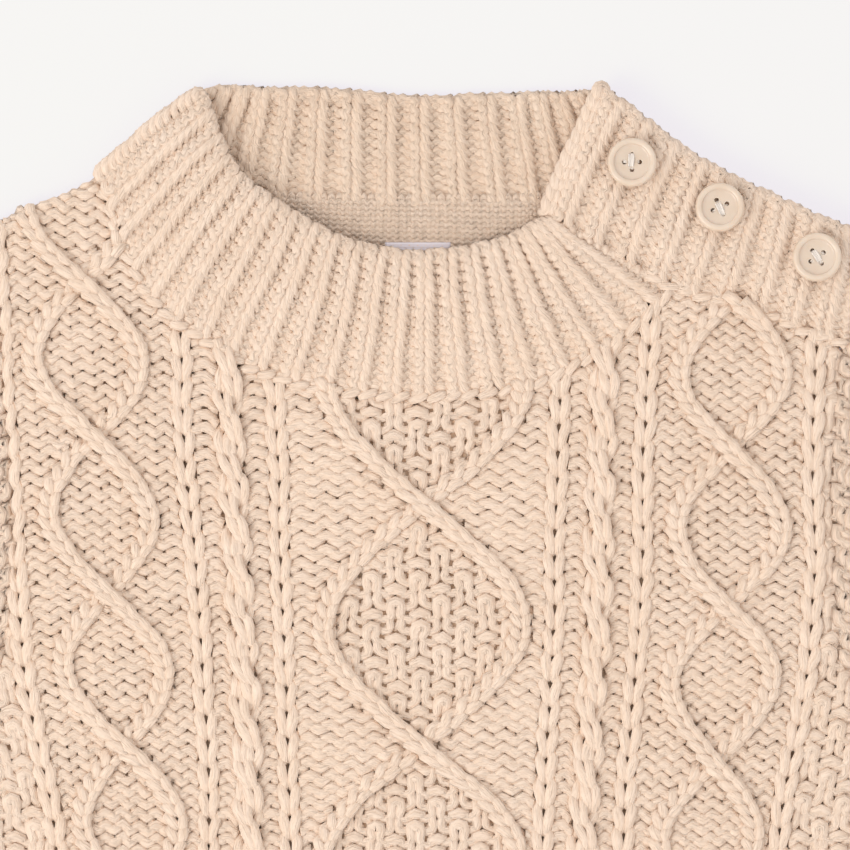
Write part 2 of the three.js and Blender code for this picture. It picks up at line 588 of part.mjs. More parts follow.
function shoulderBandBack() {
  const stations = steps(BAND_RIBS).map((t) => mix(STAND_FIRST, STAND_LAST, t));
  const rows = [STAND_LOW, (STAND_LOW + STAND_HIGH) / 2, STAND_HIGH];
  const wall = (z) => stations.map((at) => rows.map((v) => [...bandPoint(at, v), z]));
  return slab(wall(STAND_TOP), wall(FRONT_FLOOR));
}

// A four-hole button: a dished disc with a raised rim, turned about its middle, then drilled.
function button({ x, y, turn }) {
  const profile = BUTTON_PROFILE.map(([across, up]) => new THREE.Vector2(across * BUTTON_RADIUS, up));
  const disc = new THREE.LatheGeometry(profile, BUTTON_FACETS).rotateX(Math.PI / 2);
  const depth = 3 * BUTTON_THICKNESS;
  let solid = toSolid(disc);
  for (let hole = 0; hole < 4; hole += 1) {
    const angle = THREE.MathUtils.degToRad(turn + hole * 90);
    const drill = new THREE.CylinderGeometry(BUTTON_HOLE_RADIUS, BUTTON_HOLE_RADIUS, depth, HOLE_FACETS)
      .rotateX(Math.PI / 2)
      .translate(BUTTON_HOLE_REACH * Math.cos(angle), BUTTON_HOLE_REACH * Math.sin(angle), 0);
    solid = solid.subtract(toSolid(drill));
  }
  const seat = STAND_TOP + SEAM + BAND_WALL + RIB_HEIGHT + SEAM;
  return fromSolid(solid).translate(x, y, seat);
}

function neckLabel() {
  const [low, high] = [LABEL_TOP - LABEL_HEIGHT, LABEL_TOP];
  const [left, right] = [LABEL_LEFT, LABEL_LEFT + LABEL_WIDTH];
  const outline = [[left, low], [right, low], [right, high], [left, high]];
  return cutOut(outline, FRONT_FLOOR, FRONT_FLOOR + LABEL_THICKNESS);
}

// ---- the garment -----------------------------------------------------------------------------------------
const garment = new THREE.Group();

function add(name, geometry, look) {
  const mesh = new THREE.Mesh(geometry, new THREE.MeshStandardMaterial(look));
  mesh.name = name;
  garment.add(mesh);
}

add('back_panel', backPanel(), KNIT);
add('front_panel', frontPanel(), KNIT);
add('hem_rib_back', hemRib(0, 0), KNIT);
add('hem_rib_front', hemRib(FRONT_FLOOR, RIB_HEIGHT), KNIT);
for (const [name, side] of [['left', -1], ['right', 1]]) {
  add(`sleeve_${name}`, sleeve(side), KNIT);
  add(`cuff_${name}`, cuff(side), KNIT);
}
add('collar', collar(), KNIT);
add('shoulder_band_back', shoulderBandBack(), KNIT);
add('shoulder_band_front', shoulderBandFront(), KNIT);
for (const place of BUTTONS) {
  add(place.name, button(place), BUTTON);
}
add('neck_label', neckLabel(), LABEL);

export default garment;
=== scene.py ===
import math

import bpy
import numpy as np
from mathutils import Matrix, Vector


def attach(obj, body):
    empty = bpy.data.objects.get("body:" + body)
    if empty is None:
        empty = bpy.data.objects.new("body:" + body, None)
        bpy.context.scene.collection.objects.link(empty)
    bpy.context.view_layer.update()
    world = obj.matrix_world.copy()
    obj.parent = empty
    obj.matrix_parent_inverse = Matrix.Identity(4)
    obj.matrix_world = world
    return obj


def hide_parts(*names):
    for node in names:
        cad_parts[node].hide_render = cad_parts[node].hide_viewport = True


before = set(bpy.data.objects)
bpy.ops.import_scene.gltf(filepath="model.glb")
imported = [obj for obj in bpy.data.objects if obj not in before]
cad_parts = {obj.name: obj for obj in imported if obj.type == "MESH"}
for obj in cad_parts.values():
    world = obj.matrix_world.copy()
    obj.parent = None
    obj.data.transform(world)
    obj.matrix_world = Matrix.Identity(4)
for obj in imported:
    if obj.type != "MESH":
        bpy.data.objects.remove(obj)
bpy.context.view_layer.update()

# A toddler's cable knit pullover laid flat, front up. Lengths below are millimetres in the frame's own axes
# (+Y towards the neck, +Z up) and become metres when a mesh is made. Each piece of the garment is a thin
# cloth shell with its real yarn on top: strands of yarn that run row by row through the loops of the row
# below.

MM = 0.001

# ---- sizes of the garment ----
BODY_BOTTOM = -136.0  # where the body meets the hem rib
ROWS_TOP = 152.0  # the front's rows go up to here before its outline cuts them
UNDERARM = -8.0
LAYER_MIDDLE = 3.15  # height of the gap between the back and the front
EDGE_ROUNDING = 3.25  # how far in from an edge the front starts to turn down
BEND = 2.4  # length of cloth past there for each radian that it turns
MOST_TURN = 2.7  # radians that cloth turns at most
ROW = 3.55  # height of one row of the body
FINE_BELOW = -52.0  # rows of the body below this are drawn with fewer faces
FINE, COARSE = (6, 10), (4, 8)  # faces round a strand, points along a stitch
GROUND_LEVEL = 4.7  # height of the middle of the yarn on the body
CHAIN_LEVEL = 5.5
CHAIN_PITCH = 7.3
CHAIN_WIDTH = 6.0
STRAND_LEVEL = 6.3  # of a wave's or the diamond's strand
STRAND_WIDTH = 6.1
ROPE_LEVEL = 6.2
ROPE_WIDTH = 4.7  # of one of its two strands
ROPE_SWING = 2.0  # of a strand to each side
ROPE_PITCH = 14.6  # length of one rope crossing
WAVE_PITCH = 44.2
DIAMOND_PITCH = 68.4
DIAMOND_SPREAD = 28.2
DIAMOND_CROSSING = 55.4
SIDE_STITCH = 6.0  # width of a stitch of the moss beside the armholes
SIDE_COUNT = 8
UNDER_CHAIN = 2.6  # how far from a chain's middle the ground's rows end, under its legs
BESIDE_ROPE = 3.2
BAR_SLANT = 1.4  # how much lower the purl columns' rows lie beside a rope than beside a chain
HEM_EDGE = -176.0
HEM_RIBS = 28
CUFF_RIBS = 8
BAND_RIBS = 9
COLLAR_FRONT_RIBS = 20
COLLAR_BACK_RIBS = 16
COLLAR_BACK_TALL = 33.0
COLLAR_BACK_LEVEL = 1.6
FOLD_RADIUS = 2.4
FOLD_OUT = np.array([-0.644, 0.765])  # plan direction in which the collar's fold points
COLLAR_STEP = np.array([6.5, 5.0])  # plan step from rib to rib past the collar's end
BAND_STEP = np.array([8.6, -4.6])  # the same past the band's ends

# Half the width of the body from the hem rib to the shoulder tip.
SIDE = {
    "y": [-136, -100, -50, -8, 0, 12, 30, 60, 100, 134],
    "half": [131, 133, 135.5, 137, 127, 121, 118.5, 118, 120.5, 125],
}

# Where each column of the front stands, from the hem rib up to the shoulders.
COLUMNS = {
    "y": [-136, -37, 10, 75, 150],
    "chainA": [-99, -104.6, -113.7, -118, -123],
    "waveL": [-79, -83, -88, -94, -99.5],
    "chainB": [-58.5, -61, -62.6, -67.7, -70.5],
    "chainC": [-36, -37.3, -39.2, -41.2, -43.8],
    "diamond": [-0.6, -0.6, 0.2, 1.0, 1.2],
    "chainD": [35.4, 34.8, 37.0, 39.2, 41.2],
    "chainE": [55, 57.6, 61.4, 63.8, 66.3],
    "waveR": [77, 81.3, 86.2, 88.3, 89.6],
    "chainF": [97, 101.7, 110.7, 112, 114.7],
    "spread": [12.5, 13.2, 14.5, 14.8, 15],
}
WAVE_CROSSING = {"waveL": 75.0, "waveR": 71.0}
ROPE_BETWEEN = {"ropeL": ("chainB", "chainC"), "ropeR": ("chainD", "chainE")}

# The collar strip, rib by rib: its base and its top edge in plan, and the height of the middle of its wall.
COLLAR_FRONT = {
    "at": [0, 2, 4, 6.5, 9, 12.5, 16, 18.5, 20],
    "baseX": [-91.2, -85.5, -75.0, -55.5, -33.0, 1.0, 35.0, 56.5, 69.4],
    "baseY": [147.2, 129.5, 113.0, 98.6, 89.7, 86.3, 91.6, 103.8, 116.4],
    "baseZ": [6.3, 5.1, 4.8, 4.8, 4.8, 4.8, 4.8, 4.8, 4.8],
    "topX": [-60.8, -56.0, -49.5, -37.0, -21.5, 1.0, 21.0, 31.0, 35.1],
    "topY": [172.8, 160.0, 149.6, 140.4, 131.8, 128.3, 132.6, 137.0, 138.1],
    "topZ": [6.4, 7.2, 7.8, 8.0, 8.0, 8.0, 8.0, 7.8, 7.6],
}
COLLAR_BACK = {
    "at": [0, 1, 4, 8, 12, 16],
    "baseX": [-91.2, -78, -48, -5, 36, 72],
    "baseY": [147.2, 144.4, 141.8, 141, 141.6, 143.6],
    "topX": [-60.8, -57, -42, -5, 30, 51.5],
    "topY": [174.6, 176.0, 175.5, 173.8, 174.0, 174.2],
}

# The buttonhole band on the shoulder, rib by rib.
BAND = {
    "at": [0, 2, 4, 6.5, 9],
    "baseX": [35.6, 52.6, 71.0, 95.5, 120.0],
    "baseY": [138.6, 128.6, 118.2, 111.6, 102.4],
    "topX": [52.4, 67.5, 83.5, 103.5, 124.2],
    "topY": [175.2, 163.6, 153.2, 143.2, 133.6],
}

# The back's upper edge, and the ends of the front's outside its collar and band.
BACK_TOP_X = [-125, -91.5, -78, -48, -5, 36, 72, 92, 125]
BACK_TOP_Y = [134, 148.5, 147, 144.5, 143.7, 144.3, 146.2, 148, 133.8]
FRONT_TOP_LEFT = [(-125, 134), (-92.8, 148.5)]
FRONT_TOP_RIGHT = 126
SHOULDER_END = -91.5  # left of this the front's upper edge is the free shoulder edge
ARMHOLE_TOP = 133.6

# The right sleeve: its two ends' corners, and the slopes with which its edges leave the armhole and reach
# the cuff.
SLEEVE = {
    "cuffTop": (283, 31), "cuffUnder": (225.5, -33),
    "leaveTop": (165, -66), "leaveUnder": (60, -50),
    "arriveTop": (140, -126), "arriveUnder": (80, -72),
    "endTop": (309.5, 2.0), "endUnder": (258.5, -54.5),
}
SLEEVE_ROWS = 54
SLEEVE_STITCH = 6.0
SLEEVE_COUNT = 28


# ---- colours and materials ----
def linear(hex_colour):
    """An sRGB hex colour as linear red, green, blue and alpha."""
    value = [int(hex_colour[i:i + 2], 16) / 255 for i in (1, 3, 5)]
    return [v / 12.92 if v <= 0.04045 else ((v + 0.055) / 1.055) ** 2.4 for v in value] + [1.0]


def add(tree, kind, links=None, settings=None, **sockets):
    """A node of a kind in a tree, with its sockets' values, its settings, and links from other outputs."""
    node = tree.nodes.new(kind)
    for key, value in (settings or {}).items():
        setattr(node, key, value)
    for key, value in sockets.items():
        node.inputs[key.replace("_", " ")].default_value = value
    for key, source in (links or {}).items():
        tree.links.new(source, node.inputs[key])
    return node


def in_space(tree, kind, settings=None, **sockets):
    """A texture node laid out in the garment's own metres."""
    place = add(tree, "ShaderNodeTexCoord")
    return add(tree, kind, {"Vector": place.outputs["Object"]}, settings, **sockets)


def blend(tree, factor, low, high):
    """A colour between two by a factor; each of the two is a hex colour or another node's output."""
    node = add(tree, "ShaderNodeMix", {"Factor": factor}, {"data_type": "RGBA"})
    for socket, colour in zip(node.inputs[6:8], (low, high)):
        if isinstance(colour, str):
            socket.default_value = linear(colour)
        else:
            tree.links.new(colour, socket)
    return node.outputs[2]


def new_material(name):
    """An empty material and its node tree."""
    material = bpy.data.materials.new(name)
    material.use_nodes = True
    material.node_tree.nodes.clear()
    return material, material.node_tree


def surfaced(material, colour=None, bump=None, **sockets):
    """The material with one shader as its surface, its colour and its bump linked in."""
    tree = material.node_tree
    links = {"Base Color": colour} if colour else {}
    if bump:
        links["Normal"] = bump.outputs["Normal"]
    shader = add(tree, "ShaderNodeBsdfPrincipled", links, **sockets)
    add(tree, "ShaderNodeOutputMaterial", {"Surface": shader.outputs["BSDF"]})
    return material


def yarn_material(name, light, middle, dark, fibre=0.5):
    """Cotton roving: matte fibres along the strand with a slight twist, so light catches it softly."""
    material, tree = new_material(name)
    uv = add(tree, "ShaderNodeUVMap", settings={"uv_map": "strand"})
    # the strand's own length and girth are in millimetres; fibre bundles are about 0.3 mm wide and 4 mm long
    lay = add(tree, "ShaderNodeMapping", {"Vector": uv.outputs["UV"]}, Rotation=(0, 0, 0.25),
              Scale=(0.25, 2.2, 1))
    fibres = add(tree, "ShaderNodeTexNoise", {"Vector": lay.outputs["Vector"]}, Scale=1.0, Detail=2.0,
                 Roughness=0.6)
    # slow change of the dye, about 12 mm across
    dye = in_space(tree, "ShaderNodeTexNoise", Scale=85.0, Detail=2.0)
    shade = add(tree, "ShaderNodeMapRange", {"Value": fibres.outputs["Fac"]},
                From_Min=0.25, From_Max=0.58, To_Min=fibre, To_Max=0.0)
    colour = blend(tree, shade.outputs["Result"], blend(tree, dye.outputs["Fac"], middle, light), dark)
    bump = add(tree, "ShaderNodeBump", {"Height": fibres.outputs["Fac"]}, Strength=1.0, Distance=0.0008)
    return surfaced(material, colour, bump, Roughness=0.95, IOR=1.4, Specular_IOR_Level=0.1, Sheen_Weight=0.2,
                    Sheen_Roughness=0.6)


def cloth_material():
    """The inside of the knitting, seen only through the stitches: the same cotton, its colour a darker brown
    as painted shade for the holes between the stitches.
    """
    material, tree = new_material("cotton_knit_inside_painted_shade")
    # loops of the inner side, 3.6 mm apart
    loops = in_space(tree, "ShaderNodeTexVoronoi", Scale=275.0)
    bump = add(tree, "ShaderNodeBump", {"Height": loops.outputs["Distance"]}, Strength=0.4, Distance=0.0006)
    # painted shade: both tones are darker and browner than the yarn because the holes between stitches lie in
    # shade; the loops between them are a pattern
    colour = blend(tree, loops.outputs["Distance"], "#EAD2BA", "#DABB9E")
    return surfaced(material, colour, bump, Roughness=1.0, Specular_IOR_Level=0.1)


def button_material():
    """Cast polyester resin, polished: creamy, slightly see-through, with a soft gloss and faint clouds."""
    material, tree = new_material("polyester_resin_button")
    clouds = in_space(tree, "ShaderNodeTexNoise", Scale=160.0, Detail=3.0)
    colour = blend(tree, clouds.outputs["Fac"], "#D6BFA7", "#E6D6C5")
    return surfaced(material, colour, Roughness=0.28, IOR=1.55,
                    Subsurface_Weight=0.35, Subsurface_Scale=0.002, Subsurface_Radius=(1.0, 0.85, 0.7),
                    Coat_Weight=0.3, Coat_Roughness=0.15)


def tape_material():
    """Woven satin label tape, blank: pale lilac, with fine ribs across it."""
    material, tree = new_material("polyester_satin_tape")
    # weft ribs 0.4 mm apart
    weft = in_space(tree, "ShaderNodeTexWave", {"bands_direction": "Y"}, Scale=390.0, Distortion=0.4)
    bump = add(tree, "ShaderNodeBump", {"Height": weft.outputs["Fac"]}, Strength=0.3, Distance=0.0001)
    return surfaced(material, blend(tree, weft.outputs["Fac"], "#E3D9DF", "#F0E8EC"), bump, Roughness=0.55)


def floor_material():
    """Seamless backdrop paper, even and pale; most of its brightness is a painted glow, so shadows on it stay
    faint, and a lilac glow over a yellow-green colour of its own makes them slightly lilac.
    """
    # painted light: the emission brightens the paper from within and fills its shadows; the yellow-green base
    # under the lilac glow tints them lilac
    return surfaced(new_material("backdrop_paper_painted_glow")[0], Base_Color=(0.17, 0.21, 0.07, 1), Roughness=1.0,
                    Specular_IOR_Level=0.0, Emission_Color=(0.73, 0.675, 0.82, 1), Emission_Strength=1.0)


YARN = yarn_material("cotton_roving", "#F9E4D1", "#F4DBC4", "#DDBA9A")
# painted shade: the same cotton painted darker on the inner side of the neck, where less light reaches the
# yarn
SHADED_INNER_YARN = yarn_material("cotton_roving_inner_side_painted_shade", "#F4DFCA", "#EFD4BC", "#D4B08F")
THREAD = yarn_material("cotton_sewing_thread", "#FBF3EA", "#F2E6DA", "#D8C4B2", 0.2)
PAINTED_SHADE_CLOTH = cloth_material()
RESIN = button_material()
TAPE = tape_material()


# ---- curves and noise ----
def hermite(t, start, leave, end, arrive):
    """The cubic from start to end for t from 0 to 1, with these slopes where it leaves and arrives."""
    return ((2 * t**3 - 3 * t**2 + 1) * start + (t**3 - 2 * t**2 + t) * leave
            + (3 * t**2 - 2 * t**3) * end + (t**3 - t**2) * arrive)


def curve(table, key, values, at):
    """Cubic pieces through a table's points; the slope at each is that of the chord between its neighbours.

    Before the first point and past the last one the value stays what it is there.
    """
    xs, ys = np.array(table[key], float), np.array(table[values], float)
    slope = np.empty_like(ys)
    slope[1:-1] = (ys[2:] - ys[:-2]) / (xs[2:] - xs[:-2])
    slope[0] = (ys[1] - ys[0]) / (xs[1] - xs[0])
    slope[-1] = (ys[-1] - ys[-2]) / (xs[-1] - xs[-2])
    i = np.clip(np.searchsorted(xs, at, side="right") - 1, 0, len(xs) - 2)
    span = xs[i + 1] - xs[i]
    return hermite(np.clip((at - xs[i]) / span, 0, 1), ys[i], span * slope[i], ys[i + 1], span * slope[i + 1])


def ease(t):
    """A smooth step from 0 to 1."""
    t = np.clip(t, 0, 1)
    return t * t * (3 - 2 * t)


def mix(a, b, t):
    """The value a share t of the way from a to b."""
    return a + (b - a) * t


def xyz(x, y, z):
    """Points from their three coordinates."""
    return np.stack(np.broadcast_arrays(x, y, z), -1)


def unit(vectors, least=1e-9):
    """Vectors in the last axis made one long."""
    return vectors / np.maximum(np.linalg.norm(vectors, axis=-1, keepdims=True), least)


def drift(x, y, cell, seed):
    """Smooth uneven field from -1 to 1: random values on a lattice of that cell, eased between corners."""
    lattice = np.random.default_rng(seed).uniform(-1, 1, (64, 64))
    i, j = np.floor(x / cell), np.floor(y / cell)
    a, b = ease(x / cell - i), ease(y / cell - j)
    i, j = i.astype(int) % 64, j.astype(int) % 64
    i1, j1 = (i + 1) % 64, (j + 1) % 64
    return mix(mix(lattice[i, j], lattice[i1, j], a), mix(lattice[i, j1], lattice[i1, j1], a), b)


def half_width(y):
    """Half the width of the body at a height."""
    return curve(SIDE, "y", "half", y)


def column(name, y):
    """Where a column's middle stands at a height; a rope's is midway between the chains beside it."""
    if name in ROPE_BETWEEN:
        left, right = ROPE_BETWEEN[name]
        return (column(left, y) + column(right, y)) / 2
    return curve(COLUMNS, "y", name, y)


def edge(table, name, at, axes="XY"):
    """Points of a strip's base or top edge at stations along it, from its table."""
    return np.stack([curve(table, "at", name + axis, at) for axis in axes], -1)


# ---- strands, shells and pieces ----
WIDE = 1.13  # yarn pressed flat in the cloth: wider than round
TALL = 0.85
STRAND_OFFSET = 37.0  # how far each strand's fibres are moved along from those of the strand before


def strands(points, radius, keep=None, sides=6, seed=0):
    """Round strands swept along rows of points, as vertices, four-sided faces and strand coordinates in mm.

    Each point carries a ring of vertices at the radius, set square to the direction from the point before
    to the point after; rings in a row are joined, and a row's runs of kept points are closed by flat ends.
    Where a strand turns over from outwards to inwards its level side would change hands, so from there on
    it is taken negative.
    """
    rows, count = points.shape[:2]
    radius = np.broadcast_to(radius, (rows, count))
    keep = np.ones((rows, count), bool) if keep is None else keep
    along = unit(np.gradient(points, axis=1))
    side = unit(xyz(along[..., 1], -along[..., 0], 0.0), 1e-6)
    flipped = (side[:, 1:] * side[:, :-1]).sum(2) < 0
    bent = (along[:, 1:] * along[:, :-1]).sum(2) < 0
    side[:, 1:] *= np.cumprod(np.where(flipped & ~bent, -1.0, 1.0), axis=1)[..., None]
    lift = np.cross(side, along)
    turn = -math.pi / 2 + 2 * math.pi * np.arange(sides) / sides
    ring = side[:, :, None] * WIDE * np.cos(turn)[:, None] + lift[:, :, None] * TALL * np.sin(turn)[:, None]
    vertices = points[:, :, None] + ring * radius[:, :, None, None]

    number = np.arange(rows * count * sides).reshape(rows, count, sides)
    joined = keep[:, 1:] & keep[:, :-1]
    a, b = number[:, :-1][joined], number[:, 1:][joined]
    walls = np.stack([a, b, np.roll(b, -1, axis=1), np.roll(a, -1, axis=1)], axis=2).reshape(-1, 4)
    none = np.zeros((rows, 1), bool)
    first = joined & ~np.concatenate([none, joined[:, :-1]], axis=1)
    last = joined & ~np.concatenate([joined[:, 1:], none], axis=1)
    fans = [[0, i, i + 1, i + 2] for i in range(1, sides - 2, 2)]
    starts = [number[:, :-1][first][:, fan] for fan in fans]
    ends = [number[:, 1:][last][:, fan[::-1]] for fan in fans]
    faces = np.concatenate([walls, *starts, *ends])

    length = np.concatenate([np.zeros((rows, 1)), np.linalg.norm(np.diff(points, axis=1), axis=2)], axis=1)
    length = np.cumsum(length, axis=1) + STRAND_OFFSET * (np.arange(rows)[:, None] + 3 * seed)
    girth = 2 * math.pi * float(np.mean(radius)) / sides
    start, end = (np.repeat(part[joined][:, None], sides, axis=1) for part in (length[:, :-1], length[:, 1:]))
    low = np.broadcast_to(np.arange(sides) * girth, start.shape)
    high = low + girth
    walls_uv = np.stack([start, low, end, low, end, high, start, high], -1).reshape(-1, 4, 2)
    uv = np.concatenate([walls_uv, np.zeros((len(faces) - len(walls), 4, 2))])
    return vertices.reshape(-1, 3), faces, uv


def shell(outer, inner, faces):
    """Two grids of points and lists of faces between them as one part, its strand coordinates all 0."""
    faces = np.concatenate(faces)
    return np.concatenate([outer.reshape(-1, 3), inner.reshape(-1, 3)]), faces, np.zeros((len(faces), 4, 2))


def sheet_shell(top, under):
    """A closed thin shell between two grids of points of one size, joined by a rim round their edges."""
    rows, count = top.shape[:2]
    number = np.arange(rows * count).reshape(rows, count)
    a, b, c, d = number[:-1, :-1], number[:-1, 1:], number[1:, 1:], number[1:, :-1]
    over = np.stack([a, b, c, d], axis=2).reshape(-1, 4)
    below = over[:, ::-1] + rows * count
    loop = np.concatenate([number[0, :-1], number[:-1, -1], number[-1, :0:-1], number[:0:-1, 0]])
    after = np.roll(loop, -1)
    rim = np.stack([loop, loop + rows * count, after + rows * count, after], axis=1)
    return shell(top, under, [over, below, rim])


def level_shell(x, y, top, thick):
    """A thin shell with its upper face over a grid of plan points at a height, and as thick all over."""
    return sheet_shell(xyz(x, y, top), xyz(x, y, top - thick))


def tube_shell(outer, inner):
    """A closed thin tube wall between two grids whose columns close round, joined at the two ends."""
    rows, count = outer.shape[:2]
    number = np.arange(rows * count).reshape(rows, count)
    after = np.roll(number, -1, axis=1)
    wall = np.stack([number[:-1], after[:-1], after[1:], number[1:]], axis=2).reshape(-1, 4)
    shift = rows * count
    start = np.stack([number[0], number[0] + shift, after[0] + shift, after[0]], axis=1)
    end = np.stack([number[-1], after[-1], after[-1] + shift, number[-1] + shift], axis=1)
    return shell(outer, inner, [wall, wall[:, ::-1] + shift, start, end])


def smooth_object(name, mesh, material):
    """A mesh with smooth faces and a material, as an object in the scene."""
    mesh.polygons.foreach_set("use_smooth", np.ones(len(mesh.polygons), bool))
    mesh.materials.append(material)
    piece = bpy.data.objects.new(name, mesh)
    bpy.context.scene.collection.objects.link(piece)
    return piece


def register(piece, nodes):
    """The piece rides on the one body and stands for these nodes of the solids, if any, which are hidden."""
    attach(piece, "root")
    if nodes:
        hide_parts(*nodes)
    return piece


def make(name, parts, material=YARN, nodes=()):
    """A piece from joined parts, in metres, its faces smooth, flat where it lies on the floor."""
    vertices, faces, uvs, shift = [], [], [], 0
    for part_vertices, part_faces, part_uv in parts:
        used = np.unique(part_faces)
        place = np.zeros(len(part_vertices), int)
        place[used] = np.arange(len(used)) + shift
        vertices.append(part_vertices[used])
        faces.append(place[part_faces])
        uvs.append(part_uv)
        shift += len(used)
    vertices = np.concatenate(vertices) * MM
    vertices[:, 2] = np.maximum(vertices[:, 2], 0)
    mesh = bpy.data.meshes.new(name)
    mesh.from_pydata(vertices, [], np.concatenate(faces).tolist())
    layer = mesh.uv_layers.new(name="strand")
    layer.data.foreach_set("uv", np.concatenate(uvs).astype(np.float32).ravel())
    mesh.update()
    return register(smooth_object(name, mesh, material), nodes)


# ---- stitches ----
BAR = 1.5  # how far a purl bar comes out of the cloth, against a knit leg
HEAD = 0.75  # rows from a stitch's middle up to its head and down to its feet


def knit(types, lean=(0.2, 0), samples=10, behind=0.55, pinch=0.0, skew=0.0):
    """Rows of yarn through a chart, in stitches across, rows up, and -1 (back) to 1 (front).

    types[k, c] is 1 for a knit stitch and -1 for a purl one. Each stitch is a wave of the row's yarn whose
    crest, the loop's head, stands in the middle of the stitch three quarters of a row up, and whose troughs
    lie between stitches three quarters of a row down; lean, for knit and for purl stitches, spreads the
    head and narrows the foot, and pinch draws a knit stitch's two legs together; skew slants its left leg
    more and its right leg less. A knit stitch's legs are in front and its head behind the next row's legs;
    a purl stitch is the other way round, and behind is the share of its depth that yarn at the back keeps.
    """
    rows, count = types.shape[0] - 1, types.shape[1]
    across = np.linspace(0, count, count * samples + 1)
    stitch = np.minimum(np.floor(across).astype(int), count - 1)
    turn = 2 * math.pi * (across - stitch - 0.5)
    padded = np.concatenate([types[:, :1], types, types[:, -1:]], axis=1)
    head = -types[1:, stitch]
    leg = types[:-1, stitch]
    nearer = stitch + (across - stitch >= 0.5)
    foot = -(padded[:-1, nearer] + padded[:-1, nearer + 1]) / 2
    near_head = np.abs(turn) < math.pi / 2
    front = BAR * np.where(near_head, head, foot) * np.cos(turn) ** 2 + leg * np.sin(turn) ** 2
    front = np.where(front < 0, behind * front, front)
    slant = np.where(leg > 0, lean[0] * (1 - skew * np.sign(turn)), lean[1])
    u = across + slant * np.sin(2 * turn) - np.where(leg > 0, pinch, 0) * np.sin(turn)
    v = np.arange(rows)[:, None] + HEAD * np.cos(turn)
    return u, v, front


def moss(rows, count):
    """Double moss: knit and purl change over every stitch and every second row."""
    k, c = np.indices((rows + 1, count))
    return np.where((k // 2 + c) % 2 == 0, 1.0, -1.0)


def plain(rows, count=1, kind=1.0):
    """A chart of one kind of stitch, knit unless told otherwise."""
    return np.full((rows + 1, count), kind)


def purl(rows, count):
    """A chart of purl stitches."""
    return plain(rows, count, -1.0)


def uneven(points, radius, seed, amount=1.0):
    """Hand of the yarn: each strand wanders a fraction of a millimetre and swells and thins a little.

    Each coordinate moves by a short drift of the piece's own and a long one that all pieces share.
    """
    x, y, z = np.moveaxis(points, -1, 0)
    dx = 0.5 * amount * drift(x, y, 4.3, seed) + 0.6 * drift(x, y, 21.0, 98)
    dy = 0.5 * amount * drift(x, y, 4.1, seed + 1) + 0.9 * drift(x, y, 26.0, 97)
    dz = 0.2 * amount * drift(x, y, 5.2, seed + 2) + 0.35 * amount * drift(x, y, 47.0, 99)
    return xyz(x + dx, y + dy, z + dz), radius * (1 + 0.12 * drift(x, y, 3.1, seed + 3))


def spun(points, radius, seed, keep=None, sides=6, amount=1.0):
    """Strands along rows of points, made uneven."""
    points, girth = uneven(points, radius, seed, amount)
    return strands(points, girth, keep, sides, seed)


def arcs(starts, ends, bulge, radius, samples, sides, seed, thin=0.7, amount=1.0):
    """Short strands from each start to its end, bulging out by a half sine and thinner at their ends."""
    f = np.linspace(0, 1, samples)[None, :, None]
    points = mix(starts[:, None], ends[:, None], f) + np.asarray(bulge, float) * np.sin(math.pi * f)
    taper = thin + (1 - thin) * np.sin(math.pi * f[..., 0]) ** 0.7
    return spun(points, radius * taper, seed, None, sides, amount)


# ---- the body's shape ----
def top_line():
    """The front's upper outline from left to right: shoulder, the collar's base, the foot of the band."""
    collar = edge(COLLAR_FRONT, "base", np.linspace(0, COLLAR_FRONT_RIBS, 81))
    band = edge(BAND, "base", np.linspace(4, BAND_RIBS, 41))
    return np.concatenate([FRONT_TOP_LEFT, collar, band, [(FRONT_TOP_RIGHT, band[-1, 1] - 2)]]).T


TOP_X, TOP_Y = top_line()


def fall(reach, level):
    """Rounding of an edge: (how far out, how high) for cloth this far past the start of its bend.

    Before the bend the cloth is flat at its level; past it the cloth follows a circle about the middle of
    the two layers, one radian for each BEND of reach.
    """
    turn = np.clip(reach / BEND, 0, MOST_TURN)
    radius = level - LAYER_MIDDLE
    out = np.where(reach > 0, radius * np.sin(turn), reach)
    flatter = np.where(turn > math.pi / 2, 0.9, 1)
    height = np.where(reach > 0, LAYER_MIDDLE + radius * np.cos(turn) * flatter, level)
    return out, height


def body_point(x, y, level):
    """A point of the front at a level, turned down round the side edges and the free shoulder edge."""
    flat_half = half_width(y) - EDGE_ROUNDING
    out, high = fall(np.abs(x) - flat_half, level)
    flat_top = np.interp(x, TOP_X, TOP_Y) - EDGE_ROUNDING
    free = x < SHOULDER_END
    up, high_up = fall(np.where(free, y - flat_top, -1.0), level)
    return xyz(np.sign(x) * (flat_half + out), np.where(free, flat_top + up, y), np.minimum(high, high_up))


def body_keep(x, y, margin=3.2):
    """True where a point of the front's rows is on the front or just round its edge."""
    turned = 2.5 * BEND
    top = np.interp(x, TOP_X, TOP_Y) + np.where(x < SHOULDER_END, turned - 3, margin)
    return (np.abs(x) < half_width(y) + turned) & (y < top)


def wave_side(name, y, sign):
    """Where a strand of a wave or of the diamond stands: its column plus or minus a sine of the height."""
    if name == "diamond":
        swing = DIAMOND_SPREAD * np.sin(math.pi * (y - DIAMOND_CROSSING) / DIAMOND_PITCH)
    else:
        swing = column("spread", y) * np.sin(math.pi * (y - WAVE_CROSSING[name]) / WAVE_PITCH)
    return column(name, y) + sign * swing


# ---- the front's yarn ----
ROWS = int(round((ROWS_TOP - BODY_BOTTOM) / ROW))
FINE_ROW = int(round((FINE_BELOW - BODY_BOTTOM) / ROW))
CHAIN_ROWS = int(round((ROWS_TOP - BODY_BOTTOM) / CHAIN_PITCH))
HIDDEN_UNDER = 1.5  # half the width of the ground left out under a cable's strand


